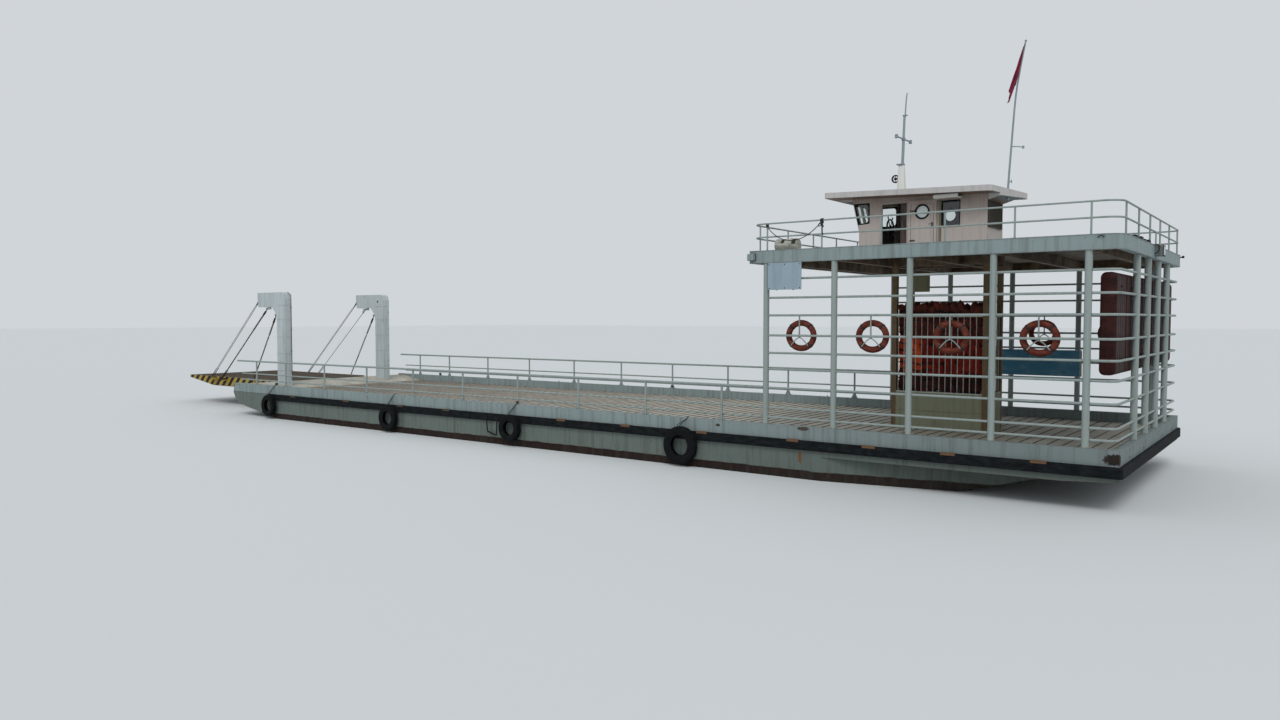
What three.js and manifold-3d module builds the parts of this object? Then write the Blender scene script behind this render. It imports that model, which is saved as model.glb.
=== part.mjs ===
// River ferry: an open car deck with a bow ramp, a barred aft deck under a roof deck, and a wheelhouse on top.
// Millimetres. x runs from midships to the bow, y to port and z up from the flat bottom on the centreline.
import * as THREE from 'three';
import { mergeVertices } from 'three/addons/utils/BufferGeometryUtils.js';
import Module from 'manifold-3d';

const wasm = await Module();
wasm.setup();

// Hull
const LENGTH = 32400;
const BEAM = 8360;
const EDGE = 2250; // flat bottom to the top of the deck coaming
const DECK = EDGE - 270;
const COAMING = 160; // width of the coaming along each side
const CUT = 0.3; // gap between pieces that touch
const HALF = BEAM / 2;
const STERN = -LENGTH / 2;
const BOW = LENGTH / 2;
const BILGE = 350;
const RUN_START = STERN + 6400; // where the sides start to tuck in towards the stern
const COUNTER = EDGE - 640; // underside of the stern overhang
const TRANSOM = STERN + 1100;
const TUCKED_HALF = 2900;
// Hull outline in the side view: stern overhang, flat bottom, long bow rake and rounded bow
const HULL_SIDE = [
  [STERN, EDGE], [STERN, COUNTER], [TRANSOM, COUNTER - 60], [RUN_START + 900, 0], [6900, 0],
  [13440, EDGE - 1200], [15270, EDGE - 910], [16020, EDGE - 680], [BOW, EDGE - 370], [BOW - 100, EDGE],
];
const SILL = { aft: BOW - 1750, fore: BOW - 600, top: EDGE - 60 }; // the deck's rise to the bow
const BAND = 330; // pale band along the deck edge
const STRAKE = { height: 230, depth: 70, front: 13600 };
const SCUPPERS = { y: [-3040, -1400, 1310, 3050], z: EDGE - 265, r: 45, depth: 90 };
const BITT = { x: 13210, inset: 80, r: 38, height: 125, pin: 90 };

// Bow ramp, swinging on a hinge across the bow
const RAMP = { root: BOW + 110, tip: BOW + 7200, half: 2250, top: EDGE - 20 };
const RAMP_DEPTH = { root: 400, tip: 110, plate: 70, knee: BOW + 5200 };
const GIRDERS = [-2200, -1100, 0, 1100, 2200];
const GIRDER = 100;
const HINGE = { x: BOW + 150, z: DECK + 20, pin: 35, bore: 40, inner: 2320, outer: 2440, reach: 110 };

// Gantry posts that carry the ramp's hoist lines
const GANTRY = { aft: 14944, depth: 600, inner: 2310, outer: 2610, top: EDGE + 3680, head: 600, reach: 16960 };
const LINE_Y = 2460;
const EYE = 45; // the hoist lines end this far below the ramp's top
// Hoist lines in the side view: upper pin, eye on the ramp, length of the thick upper fitting
const LINES = {
  wire: { from: [17030, EDGE + 3340], to: [21080, EDGE - 20], fitting: 260 },
  chain: { from: [16400, EDGE + 3010], to: [20210, EDGE - 20], fitting: 1500 },
  stay: { from: [15760, EDGE + 2750], to: [17640, EDGE - 20], fitting: 1100 },
};

// Rails and the barred aft deck
const RAIL_POSTS = [14600, 12580, 10090, 7590, 5100, 2670, 240, -2180, -4590, -7010];
const RAIL_BARS = [
  { z: 165, r: 24, front: 15650 }, { z: 405, r: 24, front: 15650 }, { z: 900, r: 32, front: 16000 },
];
const POST_FOOT = { half: 110, height: 170, thick: 10 };
const CAGE_BARS = [165, 405, 890, 1350, 1750, 2180, 2670, 3100, 3560];
const CAGE_X = [-8290, -10095, -11910, -13715, -15555];
const CAGE_Y = [2160, 720, -720, -2160];
const CAGE = { y: HALF - 82, stern: STERN + 84, pillar: 72, bar: 27, corner: 160 };

// Roof deck over the aft deck, and its rail
const ROOF = { bottom: EDGE + 3950, top: EDGE + 4260, front: -7860, corner: 350 };
const SIDELIGHT = { aft: -8030, front: ROOF.front, out: 130, bottom: ROOF.top - 240, top: ROOF.top - 80 };
const FLOODLIGHT = { y: [160, 460], out: 170, bottom: ROOF.top - 260, top: ROOF.top - 20 };
const ROOF_RAIL = { height: 650, first: -8320, pitch: 1454, count: 6, inset: 60, r: 20, bend: 200 };
const ROOF_RAIL_FRONT = [3560, 2090, 620, -850, -2320, -3790];
const ROOF_RAIL_AFT = [3700, 2220, 740, -740, -2220, -3700];
// Rope hung between the first two posts, from knot to knot, outside the rail, as [x, z] above the roof deck
const GARLAND = { r: 10, y: HALF - 28, route: [
  [-8320, 600], [-8360, 540], [-8440, 450], [-8540, 365], [-8650, 295], [-8780, 240], [-8920, 212],
  [-9060, 208], [-9200, 232], [-9330, 278], [-9450, 340], [-9560, 415], [-9650, 490], [-9730, 560], [-9774, 600],
] };
const DRUM = { x: [-8700, -8090], y: 3200, r: 165, rib: 8, ribs: [0.25, 0.5, 0.75] };
const CRADLE = { at: [0.15, 0.85], half: 120, thick: 60 };

// Wheelhouse on the roof deck
const HOUSE = { aft: -12560, front: -9190, half: 650, wall: 50, floor: ROOF.top + CUT, lean: 210 };
// The eave's aft edge runs aslant from its port to its starboard end, as [x, y], and its corners are clipped
const EAVE = { aft: -13060, front: -8380, half: 1135, low: EDGE + 5678, high: EDGE + 5830, thick: 145 };
const EAVE_PLAN = { aft: [[-12990, -1135], [-13060, -1040], [-12790, 1060], [-12700, 1135]], corner: 60 };
const BROW = { half: 620, near: 75, far: 55, short: 260, wedge: 160 };
const DOORWAY = { aft: -10500, front: -9830, sill: 120, head: 1340 };
const LEAF = { hinge: -10550, out: 685, from: 15, to: 755, thick: 40, bottom: 80, top: 1380 };
const PORTHOLE = { x: -11220, r: 165, z: ROOF.top + 1080 };
const SQUARE_WINDOW = { aft: -11880, front: -11420, bottom: 660, top: 1320 };
const CORNER_WINDOW = { port: -9470, starboard: -9740, front: -9170, bottom: 880, top: 1400 };
// A sash hinged at its top and held open
const SASH = { aft: -11930, front: -11390, out: 330, top: EDGE + 5665, drop: 45, thick: 30 };
const FRONT_PANES = { y: [-360, 0, 360], half: 160, bottom: 760, top: 1380 };
const AFT_WINDOW = { y: [-380, 560], bottom: 620, top: 1280, pane: 12 };

const WHEEL = { x: -9800, z: ROOF.top + 780, r: 230 };
// low and high are half the length and width of the mast's box foot; lean is how far the pole leans aft
const MAST = {
  x: -10100, foot: EDGE + 6750, top: EDGE + 8030, low: [105, 85], high: [70, 60], plate: 90, r: 38, lean: 40,
};
const CROSS_ARM = { z: EDGE + 7390, reach: 500, half: 20, lamp: 45 };
const WHIP = { top: EDGE + 8600, r: 14, aft: 55, lean: 45, cap: 30 };
const HORN = { x: 185, z: EDGE + 6330, r: 92, tube: 20 }; // ring horn ahead of the mast's foot
// The flagstaff is bent aft, more and more towards its top, as [x, z]
const STAFF = {
  route: [[-12920, EDGE + 6880], [-13000, EDGE + 8040], [-13090, EDGE + 8700], [-13220, EDGE + 9430]],
  foot: -12855, r: 26, arm: 290, bar: 10,
};
const FLAG = [
  [-13178, EDGE + 9400], [-13155, EDGE + 9395], [-13105, EDGE + 9120], [-13005, EDGE + 8710],
  [-12900, EDGE + 8330], [-12800, EDGE + 7960], [-12960, EDGE + 8070], [-12968, EDGE + 8200],
  [-13052, EDGE + 8700],
];

// Casing under the wheelhouse, with the life jackets stowed behind its bars
const CASING = { aft: -12616, front: -10136, half: 650, wall: EDGE + 670, post: 130, pitch: 155 };
const PILE_TOP = EDGE + 2950; // of the life jackets

// Loose gear
// Tyres as place along the side, outer radius and height of the middle
const TYRES = [
  [13370, 410, EDGE - 760], [6110, 430, EDGE - 775], [340, 410, EDGE - 710], [-5900, 500, EDGE - 715],
];
const TYRE = { width: 200, bore: 0.52, shoulder: 0.77, crown: 0.6 }; // the last three are shares
const RING = { r: 380, tube: 74, wide: 1.08, z: EDGE + 2180 }; // a little wider than tall
const NUMBER_BOARD = { x: [-9280, -8370], y: [HALF - 4, HALF + 6], z: [EDGE + 3290, EDGE + 3945] };
const BANNER = { x: [-13860, -11200], y: [-3936, -3912], z: [EDGE + 960, EDGE + 1700] };
// Seven slab floats stood side by side along the stern, on two rails
const FLOATS = {
  count: 7, pitch: 1110, width: 1070, aft: STERN + 170, thick: 310, bottom: 1450, top: 3520, round: 90,
};
const FLOAT_RAILS = [1750, 2670];

// Stern gear
const SHAFT = { x: -12700, y: 1500, z: 430, r: 50 };
const SCREW = { r: 350, hub: 85, blades: 4 };
const RUDDER = { x: -13650, length: 700, thick: 60, bottom: 60, top: 900, stock: 45, stockTop: 1168 };

const ferry = new THREE.Group();

// Materials
const paint = (color, roughness = 0.6, metalness = 0.1) =>
  new THREE.MeshStandardMaterial({ color, roughness, metalness });
const COLOURS = {
  hull: paint('#a9b3ae'),
  strake: paint('#22262a', 0.9, 0),
  tyre: paint('#1d1e20', 0.9, 0),
  ramp: paint('#6d6a62', 0.8, 0.3),
  rail: paint('#b9c1c0'),
  roof: paint('#8fa0a5'),
  house: paint('#b9aaa2'),
  casing: paint('#6b6748'),
  jackets: paint('#a32a1e', 0.9, 0),
  ring: paint('#6d2a25', 0.7, 0),
  float: paint('#4a2723', 0.8, 0),
  gantry: paint('#c3c9c9'),
  wire: paint('#33312e', 0.6, 0.6),
  board: paint('#9fb2bb'),
  banner: paint('#1f4fa0', 0.8, 0),
  glass: paint('#2a3336', 0.1, 0),
  drum: paint('#b4b7b2', 0.5, 0),
  wood: paint('#5a4632', 0.7, 0),
  mast: paint('#d6d6cf'),
  cloth: paint('#c8201c', 0.9, 0),
  bronze: paint('#8a6a35', 0.4, 0.9),
};

// Solids
function solid(geometry) {
  geometry.deleteAttribute('normal');
  geometry.deleteAttribute('uv');
  const merged = mergeVertices(geometry, 0.001);
  return new wasm.Manifold(new wasm.Mesh({
    numProp: 3,
    vertProperties: merged.attributes.position.array,
    triVerts: new Uint32Array(merged.index.array),
  }));
}

function join(...parts) {
  return parts.flat().reduce((whole, part) => whole.add(part));
}

function box([x0, x1], [y0, y1], [z0, z1]) {
  const geometry = new THREE.BoxGeometry(x1 - x0, y1 - y0, z1 - z0);
  geometry.translate((x0 + x1) / 2, (y0 + y1) / 2, (z0 + z1) / 2);
  return solid(geometry);
}

function outline(points) {
  return new THREE.Shape(points.map(([a, b]) => new THREE.Vector2(a, b)));
}

function slab(shape, thickness, segments = 6) {
  return new THREE.ExtrudeGeometry(shape, { depth: thickness, bevelEnabled: false, curveSegments: segments });
}

// An outline of [x, z] points, solid from y0 to y1.
function sideCut(points, y0, y1) {
  const geometry = slab(outline(points), y1 - y0);
  geometry.rotateX(Math.PI / 2);
  return solid(geometry.translate(0, y1, 0));
}

// An outline of [x, y] points, solid from z0 to z1.
function planCut(points, z0, z1) {
  return solid(slab(outline(points), z1 - z0).translate(0, 0, z0));
}

// An outline of [y, z] points, solid from x0 to x1.
function crossCut(points, x0, x1) {
  const geometry = slab(outline(points), x1 - x0);
  geometry.applyMatrix4(new THREE.Matrix4().makeBasis(
    new THREE.Vector3(0, 1, 0), new THREE.Vector3(0, 0, 1), new THREE.Vector3(1, 0, 0)));
  return solid(geometry.translate(x0, 0, 0));
}

function bar(from, to, radius, sides = 6, toRadius = radius) {
  const start = new THREE.Vector3(...from);
  const way = new THREE.Vector3(...to).sub(start);
  const geometry = new THREE.CylinderGeometry(toRadius, radius, way.length(), sides);
  geometry.translate(0, way.length() / 2, 0);
  geometry.applyQuaternion(new THREE.Quaternion().setFromUnitVectors(
    new THREE.Vector3(0, 1, 0), way.clone().normalize()));
  return solid(geometry.translate(...from));
}

// A level bar along a line of points, mitred at each bend.
function bentBar(points, radius, sides = 6) {
  const route = points.map((point) => new THREE.Vector3(...point));
  const ways = route.slice(1).map((point, i) => point.clone().sub(route[i]).normalize());
  const up = new THREE.Vector3(0, 0, 1);
  const rings = route.map((point, i) => {
    const before = ways[Math.max(i - 1, 0)];
    const after = ways[Math.min(i, ways.length - 1)];
    const across = up.clone().cross(before.clone().add(after).normalize());
    const reach = radius / across.dot(up.clone().cross(after));
    return Array.from({ length: sides }, (_, k) => {
      const angle = 2 * Math.PI * k / sides;
      return point.clone().addScaledVector(across, reach * Math.cos(angle))
        .addScaledVector(up, radius * Math.sin(angle));
    });
  });
  const index = [];
  for (let i = 0; i < rings.length - 1; i += 1) {
    for (let k = 0; k < sides; k += 1) {
      const [a, b] = [i * sides + k, i * sides + (k + 1) % sides];
      index.push(a, b, b + sides, a, b + sides, a + sides);
    }
  }
  const last = (rings.length - 1) * sides;
  for (let k = 1; k < sides - 1; k += 1) {
    index.push(0, k + 1, k, last, last + k, last + k + 1);
  }
  const geometry = new THREE.BufferGeometry().setFromPoints(rings.flat());
  geometry.setIndex(index);
  return solid(geometry);
}

function turned(profile, segments) {
  return new THREE.LatheGeometry(profile.map(([r, h]) => new THREE.Vector2(r, h)), segments);
}

// A ring of round section whose axis lies along y.
function torus(radius, tube, around, across) {
  return solid(new THREE.TorusGeometry(radius, tube, across, around).rotateX(Math.PI / 2));
}

function add(name, shape, material) {
  const mesh = shape.getMesh();
  const geometry = new THREE.BufferGeometry();
  geometry.setAttribute('position', new THREE.BufferAttribute(new Float32Array(mesh.vertProperties), 3));
  geometry.setIndex(new THREE.BufferAttribute(new Uint32Array(mesh.triVerts), 1));
  geometry.computeVertexNormals();
  const piece = new THREE.Mesh(geometry, material);
  piece.name = name;
  ferry.add(piece);
}

const SIDES = [{ side: 'port', s: 1 }, { side: 'starboard', s: -1 }];
const mirrored = (shape, s) => (s > 0 ? shape : shape.mirror([0, 1, 0]));

function sillAt(x) {
  const rise = Math.min(Math.max((x - SILL.aft) / (SILL.fore - SILL.aft), 0), 1);
  return DECK + (SILL.top - DECK) * rise;
}

// Hull: a flat-bottomed barge form with a raked bow, a sunken car deck and an overhanging stern.
function hullForm() {
  const whole = sideCut(HULL_SIDE, -HALF, HALF);
  const bilge = crossCut([[HALF - BILGE, -1], [HALF + 1, -1], [HALF + 1, BILGE]], STERN, BOW);
  const tuck = planCut([
    [STERN - 10, TUCKED_HALF], [RUN_START, HALF], [RUN_START, HALF + 10], [STERN - 10, HALF + 10],
  ], -10, COUNTER - 60);
  const deck = box([STERN + COAMING, SILL.aft], [COAMING - HALF, HALF - COAMING], [DECK, EDGE + 10]);
  const sill = sideCut([
    [SILL.aft - 1, DECK], [SILL.fore, SILL.top], [BOW + 10, SILL.top], [BOW + 10, EDGE + 10],
    [SILL.aft - 1, EDGE + 10],
  ], COAMING - HALF, HALF - COAMING);
  const scuppers = SCUPPERS.y.map((y) =>
    bar([STERN - 5, y, SCUPPERS.z], [STERN + SCUPPERS.depth, y, SCUPPERS.z], SCUPPERS.r, 8));
  const sides = SIDES.flatMap(({ s }) => [mirrored(bilge, s), mirrored(tuck, s)]);
  return [deck, sill, ...sides, ...scuppers].reduce((form, tool) => form.subtract(tool), whole);
}

// One side's fittings: shaft line and strut, ramp hinge lug and mooring bitt.
function hullFittings() {
  const { x, y, z, r } = SHAFT;
  const strut = sideCut([[x + 160, z], [x + 260, z], [x + 700, 1300], [x + 300, 1300]], y - 25, y + 25);
  const shaft = bar([x + 130, y, z], [x + 4200, y, z], r, 10);
  const { inner, outer, reach, z: pin } = HINGE;
  const lug = box([BOW - 60, HINGE.x + 80], [inner, outer], [pin - reach, pin + reach]);
  const bore = bar([HINGE.x, inner - 5, pin], [HINGE.x, outer + 5, pin], HINGE.bore, 12);
  const out = HALF - BITT.inset;
  const bitt = bar([BITT.x, out, EDGE - 10], [BITT.x, out, EDGE + BITT.height], BITT.r, 8);
  const cross = bar([BITT.x - 80, out, EDGE + BITT.pin], [BITT.x + 80, out, EDGE + BITT.pin], 12);
  return join(strut, shaft, lug.subtract(bore), bitt, cross);
}

function buildHull() {
  add('hull', join(hullForm(), SIDES.map(({ s }) => mirrored(hullFittings(), s))), COLOURS.hull);
  const out = HALF + STRAKE.depth;
  const strake = planCut([
    [STERN - STRAKE.depth, CUT], [STERN - CUT, CUT], [STERN - CUT, HALF + CUT], [STRAKE.front, HALF + CUT],
    [STRAKE.front - 60, out], [STERN - 20, out], [STERN - STRAKE.depth, out - 50],
  ], EDGE - BAND - STRAKE.height, EDGE - BAND);
  SIDES.forEach(({ side, s }) => add(`strake_${side}`, mirrored(strake, s), COLOURS.strake));
}

function buildTyres() {
  const half = TYRE.width / 2;
  const crown = half * TYRE.crown;
  const out = HALF + STRAKE.depth + half + 2;
  SIDES.forEach(({ side, s }) => TYRES.forEach(([x, r, z], i) => {
    const [bore, shoulder] = [r * TYRE.bore, r * TYRE.shoulder];
    const profile = [
      [bore, -crown], [shoulder, -half], [r, -crown], [r, crown], [shoulder, half], [bore, crown],
      [bore, -crown],
    ];
    add(`tyre_${side}_${i + 1}`, solid(turned(profile, 16)).translate([x, s * out, z]), COLOURS.tyre);
  }));
}

function buildRamp() {
  const { root, tip, half, top } = RAMP;
  const { plate, knee } = RAMP_DEPTH;
  const low = top - RAMP_DEPTH.root;
  const side = [[root, top], [root, low], [knee, low], [tip, top - RAMP_DEPTH.tip], [tip, top]];
  const deck = box([root, tip], [-half, half], [top - plate, top]);
  const girders = GIRDERS.map((y) => sideCut(side, y - GIRDER / 2, y + GIRDER / 2));
  const ends = [root, knee].map((x) => box([x, x + 90], [-half, half], [low, top - 10]));
  const eyes = Object.values(LINES).map(({ to: [x] }) =>
    box([x - 90, x + 90], [half - 20, LINE_Y + 40], [top - 160, top - EYE]));
  const pin = bar([HINGE.x, half - 60, HINGE.z], [HINGE.x, HINGE.outer + 20, HINGE.z], HINGE.pin, 12);
  const sides = SIDES.map(({ s }) => mirrored(join(pin, eyes), s));
  add('bow_ramp', join(deck, girders, ends, sides), COLOURS.ramp);
}

function buildGantry({ side, s }) {
  const { aft, depth, inner, outer, top, head, reach } = GANTRY;
  const front = aft + depth;
  const shape = sideCut([
    [aft, sillAt(aft) + CUT], [front, sillAt(front) + CUT], [front, top - head - 520],
    [front + 90, top - head - 260], [front + 330, top - head], [reach - 60, top - head],
    [reach, top - head + 380], [reach, top], [aft + 230, top], [aft + 60, top - 70], [aft, top - 260],
  ], inner, outer);
  const lugs = Object.values(LINES).map(({ from: [x, z] }) =>
    box([x - 180, x + 20], [LINE_Y - 30, LINE_Y + 30], [z - 30, z + 90]));
  add(`gantry_${side}`, mirrored(join(shape, lugs), s), COLOURS.gantry);
}

function buildLines({ side, s }) {
  const eye = RAMP.top - EYE + CUT;
  Object.entries(LINES).forEach(([name, { from: [x, z], to, fitting }]) => {
    const start = new THREE.Vector3(x + 60, LINE_Y * s, z);
    const end = new THREE.Vector3(to[0], LINE_Y * s, eye);
    const thick = start.clone().addScaledVector(end.clone().sub(start).normalize(), fitting);
    const line = join(bar(start.toArray(), end.toArray(), 14), bar(start.toArray(), thick.toArray(), 38));
    const below = box([to[0] - 200, to[0] + 200], [s * LINE_Y - 50, s * LINE_Y + 50], [eye - 100, eye]);
    add(`hoist_${name}_${side}`, line.subtract(below), COLOURS.wire);
  });
}

// Side rails on the car deck, ending on the aft deck's first pillar.
function buildSideRail({ side, s }) {
  const y = CAGE.y;
  const { half, height, thick } = POST_FOOT;
  const base = EDGE + CUT;
  const posts = RAIL_POSTS.flatMap((x) => [
    bar([x, y, base], [x, y, EDGE + 900], 30),
    sideCut([[x - half, base], [x + half, base], [x + 25, base + height], [x - 25, base + height]],
      y - thick / 2, y + thick / 2),
  ]);
  const end = CAGE_X[0] + CAGE.pillar + 2;
  const bars = RAIL_BARS.map(({ z, r, front }) => bar([front, y, EDGE + z], [end, y, EDGE + z], r));
  add(`side_rail_${side}`, mirrored(join(posts, bars), s), COLOURS.rail);
}

function pillar(x, y) {
  return bar([x, y, EDGE + CUT], [x, y, ROOF.bottom - CUT], CAGE.pillar, 8);
}

function ringBracket(x) {
  const y = CAGE.y;
  const strap = box([x - 14, x + 14], [y - 22, y + 12], [RING.z - 60, EDGE + 2670]);
  const legs = [-1, 1].map((k) => bar([x, y - 10, RING.z - 40], [x + k * 230, y - 10, RING.z - 240], 14, 4));
  return join(strap, legs);
}

function buildCageSide({ side, s }) {
  const y = CAGE.y;
  const pillars = CAGE_X.map((x) => pillar(x, y));
  const bars = CAGE_BARS.map((z) => bar([CAGE_X[0], y, EDGE + z], [CAGE_X.at(-1), y, EDGE + z], CAGE.bar));
  const brackets = bays().map(ringBracket);
  add(`cage_${side}`, mirrored(join(pillars, bars, brackets), s), COLOURS.rail);
}

function bays() {
  return CAGE_X.slice(1).map((x, i) => (x + CAGE_X[i]) / 2);
}

function buildCageStern() {
  const { y, stern, corner } = CAGE;
  const end = CAGE_X.at(-1) - CAGE.pillar - 2;
  const pillars = CAGE_Y.map((across) => pillar(stern, across));
  const bars = CAGE_BARS.map((z) => bentBar([
    [end, y, EDGE + z], [stern + corner, y, EDGE + z], [stern, y - corner, EDGE + z],
    [stern, corner - y, EDGE + z], [stern + corner, -y, EDGE + z], [end, -y, EDGE + z],
  ], CAGE.bar));
  add('cage_stern', join(pillars, bars), COLOURS.rail);
}

function roofOutline(inset) {
  const half = HALF - inset;
  const aft = STERN + inset;
  const radius = ROOF.corner - inset;
  const shape = new THREE.Shape();
  shape.moveTo(ROOF.front - inset, -half);
  shape.lineTo(ROOF.front - inset, half);
  shape.lineTo(aft + radius, half);
  shape.absarc(aft + radius, half - radius, radius, Math.PI / 2, Math.PI, false);
  shape.lineTo(aft, radius - half);
  shape.absarc(aft + radius, radius - half, radius, Math.PI, Math.PI * 1.5, false);
  return shape;
}

// Roof deck: a plate with a deep edge all round and beams under it.
function buildRoof() {
  const { bottom, top } = ROOF;
  const whole = solid(slab(roofOutline(0), top - bottom).translate(0, 0, bottom));
  const under = solid(slab(roofOutline(150), top - 60 - bottom).translate(0, 0, bottom - 1));
  const beams = CAGE_X.map((x) => box([x - 70, x + 70], [10 - HALF, HALF - 10], [bottom, top - 30]));
  const inner = CASING.half - CASING.post / 2;
  const carrier = box([CASING.aft - 10, CASING.front + 10], [inner - 70, inner + 70], [bottom, top - 30]);
  const lamp = box([SIDELIGHT.aft, SIDELIGHT.front], [HALF - 1, HALF + SIDELIGHT.out],
    [SIDELIGHT.bottom, SIDELIGHT.top]);
  const flood = box([STERN - FLOODLIGHT.out, STERN + 1], FLOODLIGHT.y, [FLOODLIGHT.bottom, FLOODLIGHT.top]);
  const sides = SIDES.map(({ s }) => mirrored(join(carrier, lamp), s));
  add('roof_deck', join(whole.subtract(under), beams, sides, flood), COLOURS.roof);
}

function buildRoofRail() {
  const { height, first, pitch, count, inset, r, bend } = ROOF_RAIL;
  const y = HALF - inset;
  const front = ROOF.front - inset;
  const aft = STERN + inset;
  const foot = ROOF.top + CUT;
  // A quarter bend in three straight steps, from the side to the end.
  const corner = (x, way, side) => [0, 30, 60, 90].map((angle) => {
    const turn = angle * Math.PI / 180;
    return [x - way * bend * (1 - Math.sin(turn)), side * (y - bend * (1 - Math.cos(turn)))];
  });
  const loop = [
    [front, 0], ...corner(front, 1, 1).reverse(), ...corner(aft, -1, 1), ...corner(aft, -1, -1).reverse(),
    ...corner(front, 1, -1), [front, 0],
  ];
  const bars = [height, height / 2].map((up) => bentBar(loop.map(([a, b]) => [a, b, foot + up]), r, 4));
  const places = Array.from({ length: count }, (_, i) => first - i * pitch).flatMap((x) => [[x, y], [x, -y]]);
  ROOF_RAIL_FRONT.forEach((across) => places.push([front, across]));
  ROOF_RAIL_AFT.forEach((across) => places.push([aft, across]));
  const posts = places.map(([x, across]) => bar([x, across, foot], [x, across, foot + height], r, 4));
  add('roof_rail', join(bars, posts), COLOURS.rail);
}

function buildGarland() {
  const { r, y, route } = GARLAND;
  const curve = new THREE.CatmullRomCurve3(route.map(([x, z]) => new THREE.Vector3(x, y, ROOF.top + z)));
  const section = new THREE.Shape().absarc(0, 0, r, 0, 2 * Math.PI, false);
  const tube = new THREE.ExtrudeGeometry(section, { steps: 42, extrudePath: curve, curveSegments: 4 });
  add('garland', solid(tube), COLOURS.strake);
}

// Ribbed drum lying on the roof deck.
function buildDrum() {
  const { x: [aft, front], y, r, rib } = DRUM;
  const foot = ROOF.top + CUT;
  const z = foot + r + rib;
  const place = (part) => aft + (front - aft) * part;
  const ribs = DRUM.ribs.map(place).map((x) => bar([x - 12, y, z], [x + 12, y, z], r + rib, 16));
  const cradle = CRADLE.at.map(place).map((x) =>
    box([x - CRADLE.thick / 2, x + CRADLE.thick / 2], [y - CRADLE.half, y + CRADLE.half], [foot, z - r * 0.8]));
  add('roof_drum', join(bar([aft, y, z], [front, y, z], r, 16), ribs, cradle), COLOURS.drum);
}

function buildCasing() {
  const { aft, front, half, wall, post } = CASING;
  const base = DECK + CUT;
  const low = box([aft, front], [-half, half], [base, wall]);
  const hatch = box([aft + 300, front - 300], [half - 400, half - 380], [base, wall]);
  const posts = [aft + post / 2, front - post / 2].flatMap((x) => [-1, 1].map((s) => {
    const y = s * (half - post / 2);
    return box([x - post / 2, x + post / 2], [y - post / 2, y + post / 2], [base, ROOF.bottom - CUT]);
  }));
  const frames = [wall + 10, EDGE + 2650].flatMap((z) => [
    ...[-1, 1].map((s) => box([aft, front], [s * (half - 20) - 20, s * (half - 20) + 20], [z - 20, z + 20])),
    ...[aft + 20, front - 20].map((x) => box([x - 20, x + 20], [-half, half], [z - 20, z + 20])),
  ]);
  const bars = [];
  for (let x = aft + post + CASING.pitch; x < front - post; x += CASING.pitch) {
    bars.push(...[-1, 1].map((s) => bar([x, s * (half - 20), wall], [x, s * (half - 20), EDGE + 2650], 11, 4)));
  }
  for (let y = -half + post + CASING.pitch; y < half - post; y += CASING.pitch) {
    bars.push(...[aft + 20, front - 20].map((x) => bar([x, y, wall], [x, y, EDGE + 2650], 11, 4)));
  }
  add('casing', join(low, posts, frames, bars).subtract(hatch), COLOURS.casing);
  const stack = box([aft + 160, front - 160], [60 - half, half - 60], [wall + 40, PILE_TOP]);
  add('life_jackets', stack, COLOURS.jackets);
}

function buildRings() {
  SIDES.forEach(({ side, s }) => bays().forEach((x, i) => {
    const y = s * (CAGE.y - CAGE.bar - RING.tube - 4);
    const ring = torus(RING.r - RING.tube, RING.tube, 16, 6).scale([RING.wide, 1, 1]);
    add(`ring_${side}_${i + 1}`, ring.translate([x, y, RING.z]), COLOURS.ring);
  }));
}

function buildFloats() {
  const { count, pitch, width, aft, thick, bottom, top, round } = FLOATS;
  const [low, high] = [EDGE + bottom, EDGE + top];
  const floats = Array.from({ length: count }, (_, i) => {
    const left = ((count - 1) / 2 - i) * pitch - width / 2;
    const right = left + width;
    return crossCut([
      [left, low + round], [left + round, low], [right - round, low], [right, low + round],
      [right, high - round], [right - round, high], [left + round, high], [left, high - round],
    ], aft, aft + thick);
  });
  const end = CAGE.y - CAGE.bar - CUT;
  const rails = FLOAT_RAILS.map((z) =>
    box([aft + thick - 1, aft + thick + 30], [-end, end], [EDGE + z - 15, EDGE + z + 15]));
  add('floats', join(floats, rails), COLOURS.float);
}

function buildBoards() {
  add('number_board', box(NUMBER_BOARD.x, NUMBER_BOARD.y, NUMBER_BOARD.z), COLOURS.board);
  add('banner_board', box(BANNER.x, BANNER.y, BANNER.z), COLOURS.banner);
}

// Height of the wheelhouse eave's underside at a place along the hull.
function eaveAt(x) {
  return EAVE.low + (EAVE.high - EAVE.low) * (x - EAVE.aft) / (EAVE.front - EAVE.aft);
}

function sideWall(side) {
  const { aft, front, half, wall, floor, lean } = HOUSE;
  const base = ROOF.top;
  const whole = sideCut([
    [aft, floor], [front, floor], [front, base + 640], [front + lean, eaveAt(front + lean) - CUT],
    [aft, eaveAt(aft) - CUT],
  ], half - wall, half);
  const doorway = box([DOORWAY.aft, DOORWAY.front], [0, half + 1], [base + DOORWAY.sill, base + DOORWAY.head]);
  const corner = sideCut([
    [CORNER_WINDOW[side], base + CORNER_WINDOW.bottom], [CORNER_WINDOW.front, base + CORNER_WINDOW.bottom - 20],
    [CORNER_WINDOW.front + 120, base + CORNER_WINDOW.top], [CORNER_WINDOW[side], base + CORNER_WINDOW.top],
  ], 0, half + 1);
  return whole.subtract(doorway).subtract(corner);
}

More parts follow.
